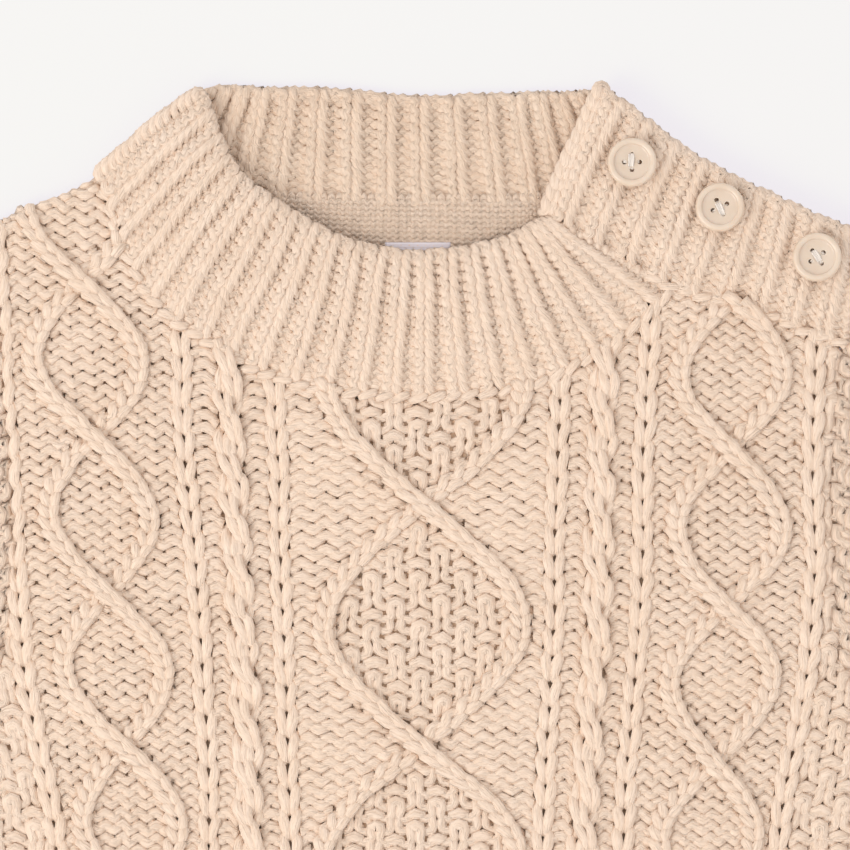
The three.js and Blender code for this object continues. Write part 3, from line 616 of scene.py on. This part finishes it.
def two_parts(build):
    """Calls build for the rows out of sight of a close look, with few faces, and for the rest, with more."""
    return [build(0, FINE_ROW, *COARSE), build(FINE_ROW, ROWS, *FINE)]


def room(name):
    """How far from a column's middle the ground beside it ends."""
    return BESIDE_ROPE if name in ROPE_BETWEEN else UNDER_CHAIN


def between(left, right):
    """The lines at which the ground between two columns begins and ends, as a function of the height."""
    return lambda y: (column(left, y) + room(left), column(right, y) - room(right))


def outside(name, sign):
    """The same lines for the moss outside the last chain of a side."""
    reach = SIDE_STITCH * SIDE_COUNT

    def lines(y):
        chain_edge = column(name, y) + sign * UNDER_CHAIN
        return chain_edge + min(sign, 0) * reach, chain_edge + max(sign, 0) * reach

    return lines


def ground(lines, count, chart, seed, radius=1.45, puff=0.25, lean=(0.13, 0.2), cross="", slant=0.0):
    """The rows of one stretch of the front between two lines, both a function of the height.

    Where a raised strand of the crossing cable lies, the row under it is left out. puff thickens the yarn
    where it comes forward, and slant is how much lower a row's right end lies than its left.
    """
    types = chart(ROWS, count)

    def build(low, high, sides, samples):
        u, v, front = knit(types[low:high + 1], lean, samples, pinch=0.055)
        y = BODY_BOTTOM + (v + low + 0.5) * ROW + slant * (0.5 - u / count)
        x = mix(*lines(y), u / count)
        keep = body_keep(x, y)
        for sign in (-1, 1) if cross else ():
            keep &= np.abs(x - wave_side(cross, y, sign)) > HIDDEN_UNDER
        girth = radius * (0.95 + puff * np.clip(front - 0.75, 0, 1))
        return spun(body_point(x, y, GROUND_LEVEL + 0.5 * front), girth, seed, keep, sides)

    return two_parts(build)


def raised(x, y, level, radius, sides, seed):
    """The yarn of a raised column, as far as the front reaches."""
    return spun(body_point(x, y, level), radius, seed, body_keep(x, y, 1.8), sides, 0.7)


def chain(name, seed):
    """A column of tall knit loops, two rows each: two thick legs side by side with a hole above each foot."""
    u, v, front = knit(plain(CHAIN_ROWS), samples=16, behind=1.0)
    y = BODY_BOTTOM + (v + 0.5 + 0.13 * seed % 1) * CHAIN_PITCH
    x = column(name, y) + (u - 0.5) * CHAIN_WIDTH
    return raised(x, y, CHAIN_LEVEL + 0.7 * front, 1.35 + 0.25 * front, 6, seed)


def cable_strand(name, sign, seed):
    """One raised strand, a single knit column that follows its wave; rows stay level, so its loops lean.

    Where its two strands meet, the one that comes down from the upper left passes over the other.
    """
    step = 0.01

    def build(low, high, sides, samples):
        u, v, front = knit(plain(high - low), samples=samples + 2, behind=0.8, pinch=0.035, skew=0.4)
        y = BODY_BOTTOM + (v + low + 0.5) * ROW
        slope = (wave_side(name, y + step, sign) - wave_side(name, y - step, sign)) / (2 * step)
        middle = wave_side(name, y, sign)
        near = np.exp(-(np.abs(middle - column(name, y)) / 4.2) ** 2)
        over = near * np.where(slope < 0, 0.95, -1.1)
        x = middle + (u - 0.5) * STRAND_WIDTH * (1 + slope**2) ** 0.2
        return raised(x, y, STRAND_LEVEL + over + 0.7 * front, 1.35 + 0.2 * front, sides, seed)

    return two_parts(build)


def rope(name, sign, seed):
    """One of the two strands of a rope: it winds about the rope's middle, half a turn for each crossing."""
    u, v, front = knit(plain(CHAIN_ROWS), samples=18, behind=1.0)
    y = BODY_BOTTOM + (v + 0.5 + 0.25 * sign) * CHAIN_PITCH
    phase = math.pi * y / ROPE_PITCH
    x = column(name, y) + sign * ROPE_SWING * np.cos(phase) + (u - 0.5) * ROPE_WIDTH
    return raised(x, y, ROPE_LEVEL + sign * np.sin(phase) + 0.6 * front, 1.25 + 0.25 * front, 6, seed)


def diamond_chart(rows, count):
    """Purl ground, with double moss inside the diamonds."""
    k, c = np.indices((rows + 1, count))
    y = BODY_BOTTOM + (k + 0.5) * ROW
    x = mix(*between("chainC", "chainD")(y), (c + 0.5) / count)
    inside = np.abs(x - column("diamond", y)) < np.abs(wave_side("diamond", y, 1) - column("diamond", y))
    return np.where(inside, moss(rows, count), -1.0)


def pairs(*names):
    """Each name with -1 and with 1, for the two strands of each."""
    return enumerate((name, sign) for name in names for sign in (-1, 1))


front_yarn = [
    make("front_ground_left", [
        *ground(outside("chainA", -1), SIDE_COUNT, moss, 11, 1.42, 0.45, (0.13, 0.26)),
        *ground(between("chainA", "chainB"), 8, purl, 12, 1.33, 0.3, cross="waveL"),
    ]),
    make("front_ground_middle", [
        *ground(between("chainC", "chainD"), 11, diamond_chart, 13, 1.34, 0.45, (0.13, 0.25), "diamond"),
        *ground(between("chainB", "ropeL"), 1, purl, 14, slant=BAR_SLANT),
        *ground(between("ropeL", "chainC"), 1, purl, 15, slant=-BAR_SLANT),
        *ground(between("chainD", "ropeR"), 1, purl, 16, slant=BAR_SLANT),
        *ground(between("ropeR", "chainE"), 1, purl, 17, slant=-BAR_SLANT),
    ]),
    make("front_ground_right", [
        *ground(between("chainE", "chainF"), 8, purl, 18, 1.33, 0.3, cross="waveR"),
        *ground(outside("chainF", 1), SIDE_COUNT, moss, 19, 1.42, 0.45, (0.13, 0.26)),
    ]),
    make("front_chains", [chain("chain" + letter, seed) for seed, letter in enumerate("ABCDEF")]),
    make("front_ropes", [
        rope(name, sign, 30 + seed)
        for seed, (name, sign) in pairs("ropeL", "ropeR")
    ]),
    make("front_cables", [
        part for seed, (name, sign) in pairs("waveL", "diamond", "waveR")
        for part in cable_strand(name, sign, 40 + seed)
    ]),
]


# ---- the front's and the back's cloth ----
def body_grid(top_x, top_y, inset, below):
    """Plan points over a panel: across by shares of its width, up by shares of its outline's height there.

    Width and height depend on each other, so they are found in turns, four times over.
    """
    share = np.linspace(-1, 1, 100)[None, :]
    up = np.linspace(0, 1, 90)[:, None]
    y = BODY_BOTTOM + up * (130 - BODY_BOTTOM) + 0 * share
    for _ in range(4):
        x = share * (half_width(y) - inset)
        y = BODY_BOTTOM + up * (np.interp(x, top_x, top_y) - below - BODY_BOTTOM)
    return x, y


def front_cloth_shell():
    """The front's wall under its yarn, a little lower near its side edges."""
    x, y = body_grid(TOP_X, TOP_Y, 1.6, 1.6)
    return level_shell(x, y, 4.2 - ease((np.abs(x) - half_width(y) + 6) / 4.4), 0.6)


front_cloth = make("front_cloth", [front_cloth_shell()], PAINTED_SHADE_CLOTH, ["front_panel"])
back_cloth = make("back_cloth", [level_shell(*body_grid(BACK_TOP_X, BACK_TOP_Y, 1.0, 0.8), 2.3, 2.25)],
                  PAINTED_SHADE_CLOTH, ["back_panel"])


# ---- ribbing ----
def rib_rows(place, keep, first, ribs, rows, seed, radius=(1.45, 1.45), relief=0.7, look=FINE, spare=0.0,
             share=(0.63, 0.8), purl_radius=(1.3, 1.1), sink=(1.3, 1.9)):
    """Rows of ribbing, knit and purl columns in turn: place(at, up, level) gives points, up from 0 to 1.

    Given at the base and at the top are radius, that of the valleys' yarn (purl_radius), how far the
    valleys lie below the ribs (sink), and the share of a rib's width that its knit column takes. spare is
    how many rows stand past the top, where the ribs run out into the rolled edge.
    """
    sides, samples = look
    u, v, front = knit(np.tile([1.0, -1.0], (rows + 1, ribs)), (0.12, 0.2), samples, pinch=0.03, skew=0.65)
    up = (v + HEAD) / (rows - spare)
    inside = np.clip(up, 0, 1)
    knit_part = mix(*share, inside)
    rib = np.floor(u / 2)
    f = u - 2 * rib
    at = first + rib + np.where(f < 1, 0.5 - knit_part / 2 + knit_part * f,
                                0.5 + knit_part / 2 + (1 - knit_part) * (f - 1))
    crest = np.sin(math.pi * u)
    strong = 1 - 0.9 * ease((up - 0.84) / 0.16)
    valley = mix(*sink, ease((up - 0.3) / 0.4))
    level = 0.42 * front + relief * strong * np.where(crest > 0, crest, valley * crest)
    thick = mix(*radius, inside)
    girth = mix(mix(thick, mix(*purl_radius, inside), strong), thick, ease(0.5 + 0.7 * crest))
    moved, girth = uneven(place(at, up, level), girth, seed, 0.5)
    moved[..., 2] = np.maximum(moved[..., 2], girth)
    return strands(moved, girth, keep(at, up) if keep else None, sides, seed)


ROLL = 2.75  # from the line where a strip's edge starts to turn over, out to its crest
ROLL_CORE = 0.5  # how far below the strip's middle the roll's own middle lies
SLOPE_STEP = 0.02


def strip(surface, height, back):
    """Places rib stitches on a strip: straight up to near its top edge, then turned over it.

    It turns a radian for each back of length. With it goes a test for stitches up to where the edge has
    turned all the way over.
    """

    def place(at, up, level):
        tall = height(at)
        straight = 1 - ROLL / tall
        turn = np.clip((up - straight) * tall / back, 0, MOST_TURN)[..., None]
        base = np.minimum(up, straight)
        along = surface(at + SLOPE_STEP, base) - surface(at - SLOPE_STEP, base)
        rise = unit(surface(at, base + SLOPE_STEP) - surface(at, base - SLOPE_STEP))
        normal = unit(np.cross(along, rise))
        out = (ROLL_CORE + level + 0.6)[..., None]
        return surface(at, base) + rise * (out * np.sin(turn)) + normal * (out * np.cos(turn) - ROLL_CORE)

    return place, lambda at, up: (up - 1) * height(at) < 2.8 * back - ROLL


def rib_length(table):
    """The length of a strip's ribs in plan, as a function of the station."""
    return lambda at: np.linalg.norm(edge(table, "top", at) - edge(table, "base", at), axis=-1)


# ---- the collar ----
def collar_front_surface(at, up):
    """The middle of the collar's front wall, from its table.

    Left of station 0 it turns round the fold in a half circle, and past its last station it runs straight on.
    """
    low, high = edge(COLLAR_FRONT, "base", at, "XYZ"), edge(COLLAR_FRONT, "top", at, "XYZ")
    point = mix(low, high, up[..., None])
    point[..., 2] = mix(low[..., 2], high[..., 2], ease(1.3 * up))
    turn = np.clip(-at, 0, 1.2) * math.pi * 0.95
    point[..., :2] += (FOLD_RADIUS * np.sin(turn))[..., None] * FOLD_OUT
    point[..., 2] -= FOLD_RADIUS * (1 - np.cos(turn))
    point[..., :2] += np.maximum(at - COLLAR_FRONT_RIBS, 0)[..., None] * COLLAR_STEP
    return point


def collar_back_surface(at, up):
    """The middle of the collar's back wall: level, its plan from its table."""
    plan = mix(edge(COLLAR_BACK, "base", at), edge(COLLAR_BACK, "top", at), up[..., None])
    return xyz(plan[..., 0], plan[..., 1], COLLAR_BACK_LEVEL)


collar_front_yarn = make("collar_front_ribs", [
    rib_rows(*strip(collar_front_surface, rib_length(COLLAR_FRONT), 1.55), -1, COLLAR_FRONT_RIBS + 1, 17, 50,
             (1.5, 1.25), spare=1.6, share=(0.65, 0.87)),
])
collar_back_yarn = make("collar_back_ribs", [
    rib_rows(*strip(collar_back_surface, lambda at: COLLAR_BACK_TALL + 0 * at, 1.9), 0, COLLAR_BACK_RIBS,
             14, 51, (1.4, 1.4), 0.6, spare=1.4, share=(0.63, 0.68), purl_radius=(1.3, 1.2), sink=(1.6, 2.1)),
], SHADED_INNER_YARN)


def collar_shell():
    """The collar's wall under its yarn: the back half, the fold and the front half in one strip."""
    back_at = np.linspace(COLLAR_BACK_RIBS, 0.4, 50)
    front_at = np.concatenate([np.linspace(-0.95, 0, 8), np.linspace(0.3, COLLAR_FRONT_RIBS, 70)])
    share = np.linspace(0.03, 0.96, 14)
    middle = np.concatenate([collar_back_surface(*np.meshgrid(back_at, share, indexing="ij")),
                             collar_front_surface(*np.meshgrid(front_at, share, indexing="ij"))])
    normal = unit(np.cross(np.gradient(middle, axis=0), np.gradient(middle, axis=1)))
    return sheet_shell(middle + 0.4 * normal, middle - 0.4 * normal)


collar_cloth = make("collar_cloth", [collar_shell()], PAINTED_SHADE_CLOTH, ["collar"])


# ---- the shoulder band ----
def band_surface(at, up):
    """The middle of the band's wall: plan from its table, height stepping up over the button stand.

    Before its first station and past its last the band runs straight on.
    """
    past = (np.minimum(at, 0) + np.maximum(at - BAND_RIBS, 0))[..., None]
    plan = mix(edge(BAND, "base", at), edge(BAND, "top", at), up[..., None]) + past * BAND_STEP
    floor = 3.3 + 2.9 * np.maximum(ease((up - 0.04) / 0.24), 0.95 * ease(1 - at / 4))
    return xyz(plan[..., 0], plan[..., 1], floor + 1.3)


band_yarn = make("shoulder_band_ribs", [
    rib_rows(*strip(band_surface, rib_length(BAND), 1.7), 0, BAND_RIBS, 16, 60, spare=1.6),
])


def band_shell(first, last, low, high, level, thick):
    """A wall on the band between two stations and two shares of its height, at a level or at the band's."""
    at, up = np.meshgrid(np.linspace(first, last, 40), np.linspace(low, high, 16), indexing="ij")
    middle = band_surface(at, up)
    if level is not None:
        middle[..., 2] = level
    offset = np.array([0, 0, thick / 2])
    return sheet_shell(middle + offset, middle - offset)


band_cloth = make("shoulder_band_cloth", [band_shell(0.1, BAND_RIBS, 0.02, 0.96, None, 0.7)], PAINTED_SHADE_CLOTH,
                  ["shoulder_band_front"])
stand_cloth = make("button_stand_cloth", [band_shell(0.6, BAND_RIBS - 0.15, 0.34, 0.95, 4.6, 2.4)], YARN,
                   ["shoulder_band_back"])


# ---- seams of the collar and the band ----
PICK_UP = 0.5  # how many ribs one slanted stroke of the picked-up row covers


def base_of(surface, at):
    """Points of a strip's base, and the level directions from them up the strip."""
    base = surface(at, 0 * at)
    rise = surface(at, 0 * at + 0.1) - base
    rise[:, 2] = 0
    return base, unit(rise)


def picked_up(surface, first, last, outward, height, seed):
    """Slanted strokes along a strip's base, each from below the seam up over it, to pick up its loops."""
    at = np.arange(first, last, PICK_UP)
    base, rise = base_of(surface, at)
    after = surface(at + PICK_UP, 0 * at)
    base[:, 2] = after[:, 2] = height
    return arcs(base - (outward + 1.1) * rise, after - (outward - 1.0) * rise, (0, 0, 0.5), 1.25, 9, 6, seed)


def rib_feet(surface, ribs, inward, height, seed):
    """The fat round loop that closes the foot of each valley."""
    at = ribs.astype(float)
    base, rise = base_of(surface, at)
    along = surface(at + 0.1, 0 * at) - surface(at - 0.1, 0 * at)
    along[:, 2] = 0
    along = unit(along)
    middle = base + inward * rise
    middle[:, 2] = height
    return arcs(middle - 1.2 * along, middle + 1.2 * along, (0, 0.3, 0.3), 1.95, 7, 6, seed)


collar_seam = make("collar_seam", [
    picked_up(collar_front_surface, 0.1, COLLAR_FRONT_RIBS - 0.3, 0.9, 6.2, 54),
    rib_feet(collar_front_surface, np.arange(1, COLLAR_FRONT_RIBS), 1.7, 4.9, 55),
])
band_seam = make("shoulder_band_seam", [picked_up(band_surface, 3.2, BAND_RIBS - 0.2, 0.5, 5.9, 62)])


def band_roll(seed):
    """The band's end beside the neck: one knit column bent round the edge, along its whole length."""
    rows = 11
    u, v, front = knit(plain(rows), (0.14, 0), 16, 1.0, 0.04, 0.6)
    share = (v + 0.7) / (rows + 0.6)
    at = np.full_like(share, -0.02)
    middle = band_surface(at, share)
    across = band_surface(at + 0.2, share) - middle
    across[..., 2] = 0
    turn = 2.1 * (u - 0.5)
    points = middle + unit(across) * (0.4 + 2.3 * np.sin(turn))[..., None]
    end = ease((share - 0.86) / 0.14)
    points[..., 2] = middle[..., 2] - 1.7 + 2.2 * np.cos(turn) + 0.35 * front - 1.6 * end
    return spun(points, 1.5 + 0.2 * front, seed, None, 8, 0.5)


band_edge = make("shoulder_band_edge", [band_roll(64)])


# ---- inside the neck ----
FACING_LEFT = -78
FACING_STITCH = 2.3
FACING_ROW = 1.65
FACING_LEVEL = 3.3


def neck_facing(rows, count, seed):
    """Fine knitting inside the back neck, its rows along the base of the collar's back."""
    u, v, front = knit(purl(rows, count), (0.2, 0.16), 6)
    x = FACING_LEFT + u * FACING_STITCH
    at = np.interp(x, COLLAR_BACK["baseX"], COLLAR_BACK["at"])
    y = curve(COLLAR_BACK, "at", "baseY", at) + 3.4 - (rows - v) * FACING_ROW
    keep = y > np.interp(x, COLLAR_FRONT["topX"], COLLAR_FRONT["topY"]) - 5
    return spun(xyz(x, y, FACING_LEVEL + 0.3 * front), 0.72 + 0.08 * front, seed, keep, 4, 0.25)


def label_sheet():
    """A blank tape folded flat, its surface slightly waved."""
    x, y = np.meshgrid(np.linspace(-10.5, 8.2, 24), np.linspace(112.0, 130.4, 24))
    return level_shell(x, y, 4.4 + 0.12 * np.sin(x / 3.1) * np.cos(y / 4.3), 0.4)


neck_facing_yarn = make("neck_facing", [neck_facing(16, 60, 75)])
neck_label = make("neck_label_tape", [label_sheet()], TAPE, ["neck_label"])

# ---- buttons ----
HOLE_RADIUS = 0.65
HOLE_DISTANCE = 2.2
BUTTON_REST = 10.4
BUTTON_GAP = 0.3  # a button's underside is this far above its rest
BUTTON_COLUMNS = 96  # of faces round a button
BUTTONS = [
    {"x": 59.8, "y": 152.8, "turn": 0, "tip": 4},
    {"x": 84.8, "y": 140.0, "turn": 25, "tip": 5},
    {"x": 112.4, "y": 125.8, "turn": 35, "tip": 5},
]
# The button's section from the middle of its underside, round its rim, to the middle of its dish.
BUTTON_SECTION = {
    "at": [0, 1, 2, 3, 4, 5, 6, 7, 8],
    "radius": [0, 5.6, 6.79, 7.0, 6.72, 6.16, 5.32, 4.48, 0],
    "height": [0, 0, 0.6, 1.4, 2.4, 2.8, 2.6, 1.9, 1.7],
}


def button(number, place):
    """A turned disc with a raised rim and a dish, and four holes cut through it in a square."""
    at = np.linspace(0, 8, 65)
    radius = curve(BUTTON_SECTION, "at", "radius", at)[1:-1, None]
    height = curve(BUTTON_SECTION, "at", "height", at)
    turn = np.linspace(0, 2 * math.pi, BUTTON_COLUMNS, endpoint=False)
    ring = xyz(radius * np.cos(turn), radius * np.sin(turn), height[1:-1, None]).reshape(-1, 3)
    number_of = np.arange(len(ring)).reshape(len(radius), BUTTON_COLUMNS)
    after = np.roll(number_of, -1, axis=1)
    walls = np.stack([number_of[:-1], after[:-1], after[1:], number_of[1:]], 2).reshape(-1, 4)
    bottom, top = (np.full(BUTTON_COLUMNS, len(ring) + i) for i in (0, 1))
    caps = [np.stack([bottom, after[0], number_of[0]], 1), np.stack([top, number_of[-1], after[-1]], 1)]
    mesh = bpy.data.meshes.new(f"button_{number}_disc")
    vertices = np.concatenate([ring, [[0, 0, height[0]], [0, 0, height[-1]]]]) * MM
    mesh.from_pydata(vertices, [], walls.tolist() + np.concatenate(caps).tolist())
    disc = smooth_object(f"button_{number}_disc", mesh, RESIN)
    cutters = []
    for quarter in range(4):
        angle = math.radians(place["turn"]) + quarter * math.pi / 2
        bpy.ops.mesh.primitive_cylinder_add(
            vertices=24, radius=HOLE_RADIUS * MM, depth=8 * MM,
            location=(HOLE_DISTANCE * MM * math.cos(angle), HOLE_DISTANCE * MM * math.sin(angle), 0))
        cutters.append(bpy.context.object)
        hole = disc.modifiers.new(f"hole_{quarter}", "BOOLEAN")
        hole.operation = "DIFFERENCE"
        hole.object = bpy.context.object
    cut = bpy.data.meshes.new_from_object(disc.evaluated_get(bpy.context.evaluated_depsgraph_get()))
    disc.modifiers.clear()
    for cutter in cutters:
        bpy.data.objects.remove(cutter)
    tip = math.radians(place["tip"])
    cut.transform(Matrix.Translation(Vector((place["x"], place["y"], BUTTON_REST + BUTTON_GAP)) * MM)
                  @ Matrix.Rotation(-tip, 4, "X") @ Matrix.Rotation(-tip / 2, 4, "Y"))
    disc.data = cut
    return register(disc, [f"button_{number}"])


def button_thread(number, place):
    """Three turns of thread over one pair of holes and two under them over the other pair."""
    angle = math.radians(place["turn"]) + math.pi / 2
    middle = np.array([place["x"], place["y"], BUTTON_REST + 1.5])
    parts = []
    for direction, sides, lift in [
        (angle, (-0.5, 0.0, 0.5), 0.85), (angle + math.pi / 2, (-0.25, 0.25), 0.3)
    ]:
        along = np.array([math.cos(direction), math.sin(direction), 0])
        offsets = np.array(sides)[:, None] * np.array([-along[1], along[0], 0])
        reach = (HOLE_DISTANCE + 0.1) * along
        parts.append(arcs(middle + offsets * 1.2 + reach, middle + offsets - reach, (0, 0, lift), 0.33,
                          11, 6, 66, 0.9, 0.2))
    return make(f"button_{number}_thread", parts, THREAD)


for build_part in (button, button_thread):
    for number, place in enumerate(BUTTONS, 1):
        build_part(number, place)


# ---- hem ----
HEM_SEAM = 2.6  # from the hem's edge up to the foot of its ribs


def hem_place(at, up, level):
    """Places stitches on the front's hem rib, flat and turned down round its two ends."""
    y = HEM_EDGE + HEM_SEAM + up * (BODY_BOTTOM - HEM_EDGE - HEM_SEAM)
    half = mix(128.5, 130.5, np.clip(up, 0, 1))
    x = (at / HEM_RIBS * 2 - 1) * half
    out, high = fall(np.abs(x) - (half - EDGE_ROUNDING), GROUND_LEVEL + level)
    return xyz(np.sign(x) * (half - EDGE_ROUNDING + out), np.maximum(y, HEM_EDGE + 1.2), high)


def hem_shell(level):
    """A flat wall over the hem's plan with its upper face at a level."""
    x, y = np.meshgrid(np.linspace(-127.5, 127.5, 60), np.linspace(HEM_EDGE + 1.5, BODY_BOTTOM + 1.5, 12))
    return level_shell(x, y, level, 0.7)


hem_yarn = make("hem_ribs", [rib_rows(hem_place, None, 0, HEM_RIBS, 12, 70, look=COARSE, spare=0.6)])
hem_front_cloth = make("hem_front_cloth", [hem_shell(4.2)], PAINTED_SHADE_CLOTH, ["hem_rib_front"])
hem_back_cloth = make("hem_back_cloth", [hem_shell(1.6)], PAINTED_SHADE_CLOTH, ["hem_rib_back"])


# ---- sleeves and cuffs ----
def sleeve_line(name, across):
    """A value of the sleeve's table that goes evenly from its top edge to its underarm edge."""
    top, under = (np.array(SLEEVE[name + end], float) for end in ("Top", "Under"))
    return mix(top, under, across[..., None])


def sleeve_plan(along, across):
    """A plan point of the right sleeve: along from the armhole to the cuff, across from top edge to underarm.

    Each line along the sleeve is a cubic that leaves the armhole one way and arrives at the cuff another.
    """
    y = mix(ARMHOLE_TOP, UNDERARM, across)
    armhole = np.stack([half_width(y) + 0.5, y], -1)
    leave, cuff, arrive = (sleeve_line(name, across) for name in ("leave", "cuff", "arrive"))
    return hermite(along[..., None], armhole, leave, cuff, arrive)


def cuff_plan(along, across):
    """A plan point of the right cuff: straight from the sleeve's end to the cuff's edge."""
    return mix(sleeve_line("cuff", mix(0.03, 0.97, across)), sleeve_line("end", across), along[..., None])


def tube_width(plan, along):
    """The width of a sleeve or a cuff in plan."""
    return np.linalg.norm(plan(along, 0 * along) - plan(along, 0 * along + 1), axis=-1)


def tube_point(plan, side, along, reach, level):
    """A point round a flattened tube, flat on top, a half circle at its edges; reach is from its middle."""
    along = np.clip(along, 0, 1)
    width = tube_width(plan, along)
    flat_half = width / 2 - EDGE_ROUNDING
    out, high = fall(np.abs(reach) - flat_half, level)
    point = plan(along, 0.5 + np.sign(reach) * (flat_half + out) / width)
    return xyz(side * point[..., 0], point[..., 1], high)


def sleeve_yarn(side, seed):
    """Double moss all over the sleeve, each row square to its length and turned down round both edges."""
    u, v, front = knit(moss(SLEEVE_ROWS, SLEEVE_COUNT), (0.13, 0.2), 8)
    along = 1 - (v + 0.5) / SLEEVE_ROWS
    reach = (u - SLEEVE_COUNT / 2) * SLEEVE_STITCH
    keep = np.abs(reach) < tube_width(sleeve_plan, np.clip(along, 0, 1)) / 2 - EDGE_ROUNDING + 6.0
    points = tube_point(sleeve_plan, side, along, reach, GROUND_LEVEL + 0.5 * front)
    return spun(points, 1.45 * (0.9 + 0.1 * front), seed, keep, 4)


def cuff_yarn(side, seed):
    """Ribbing along the cuff, turned down round both edges."""

    def place(at, up, level):
        along = 1 - up * 0.97
        reach = (at - CUFF_RIBS / 2) / CUFF_RIBS * mix(83.0, 76.0, np.clip(along, 0, 1))
        return tube_point(cuff_plan, side, along, reach, GROUND_LEVEL + level)

    return rib_rows(place, None, 0, CUFF_RIBS, 12, seed, look=COARSE, spare=0.4)


def tube_cloth(plan, side, rows, first=0.0, last=1.0):
    """The tube's own cloth: a flat oval ring at each station, as a thin wall."""
    turn = np.linspace(0, 2 * math.pi, 60, endpoint=False)
    s, a = np.meshgrid(np.linspace(first, last, rows), turn, indexing="ij")
    width = tube_width(plan, s)

    def ring(inset, tall):
        flat = np.sign(np.cos(a)) * np.abs(np.cos(a)) ** 0.55
        point = plan(s, 0.5 + flat * (0.5 - (1.8 + inset) / width))
        high = LAYER_MIDDLE + tall * np.sign(np.sin(a)) * np.abs(np.sin(a)) ** 0.45
        return xyz(side * point[..., 0], point[..., 1], high)[:, ::side]

    return tube_shell(ring(0.0, 1.2), ring(0.6, 0.6))


def armhole_seam(side, seed):
    """Short bars across the groove where the sleeve is sewn to the body."""
    y = np.arange(UNDERARM, 130, ROW)
    half = half_width(y)
    starts, ends = xyz(side * (half - 3.2), y, 3.4), xyz(side * (half + 3.4), y - 1.0, 3.4)
    return arcs(starts, ends, (0, 0.5, 0.3), 1.75, 7, 4, seed)


for name, side in (("left", -1), ("right", 1)):
    moss_yarn = make(f"sleeve_{name}_moss", [sleeve_yarn(side, 80 + side)])
    seam = make(f"armhole_{name}_seam", [armhole_seam(side, 85 + side)])
    sleeve = make(f"sleeve_{name}_cloth", [tube_cloth(sleeve_plan, side, 40)], PAINTED_SHADE_CLOTH, [f"sleeve_{name}"])
    ribs = make(f"cuff_{name}_ribs", [cuff_yarn(side, 90 + side)])
    cuff = make(f"cuff_{name}_cloth", [tube_cloth(cuff_plan, side, 12, 0.02, 0.96)], PAINTED_SHADE_CLOTH, [f"cuff_{name}"])


# ---- light, floor and camera ----
def add_stage():
    """The floor, an even pale surround, a large soft key light at the left and a weak fill at the right."""
    bpy.ops.mesh.primitive_plane_add(size=6, location=(0, 0, -0.0003))
    floor = bpy.context.object
    floor.name = "floor"
    floor.data.materials.append(floor_material())
    world = bpy.data.worlds.new("studio")
    bpy.context.scene.world = world
    world.use_nodes = True
    background = world.node_tree.nodes["Background"]
    background.inputs["Color"].default_value = (1.0, 0.985, 0.985, 1)
    background.inputs["Strength"].default_value = 0.89
    for name, place, size, power, colour in [
        ("key_softbox", (-1.3, -0.5, 1.3), 1.1, 15.5, (1.0, 0.97, 0.93)),
        ("fill_softbox", (1.2, 0.9, 1.6), 1.4, 2.0, (0.97, 0.97, 1.0)),
    ]:
        light = bpy.data.lights.new(name, "AREA")
        light.size = size
        light.energy = power
        light.color = colour
        lamp = bpy.data.objects.new(name, light)
        bpy.context.scene.collection.objects.link(lamp)
        lamp.location = place
        lamp.rotation_mode = "QUATERNION"
        lamp.rotation_quaternion = (Vector(place) - Vector((0, 0.08, 0))).to_track_quat("Z", "Y")


def add_camera():
    """Straight down on the neck with a long lens: 242 mm of the garment fill the square frame."""
    camera_data = bpy.data.cameras.new("camera")
    camera = bpy.data.objects.new("camera", camera_data)
    bpy.context.scene.collection.objects.link(camera)
    height, across = 1.4, 0.2423
    camera.location = (0.0009, 0.0782, height + 0.008)
    camera_data.sensor_width = 36
    camera_data.lens = 36 * height / across
    bpy.context.scene.camera = camera


add_stage()
add_camera()
bpy.context.scene.view_settings.view_transform = "Standard"
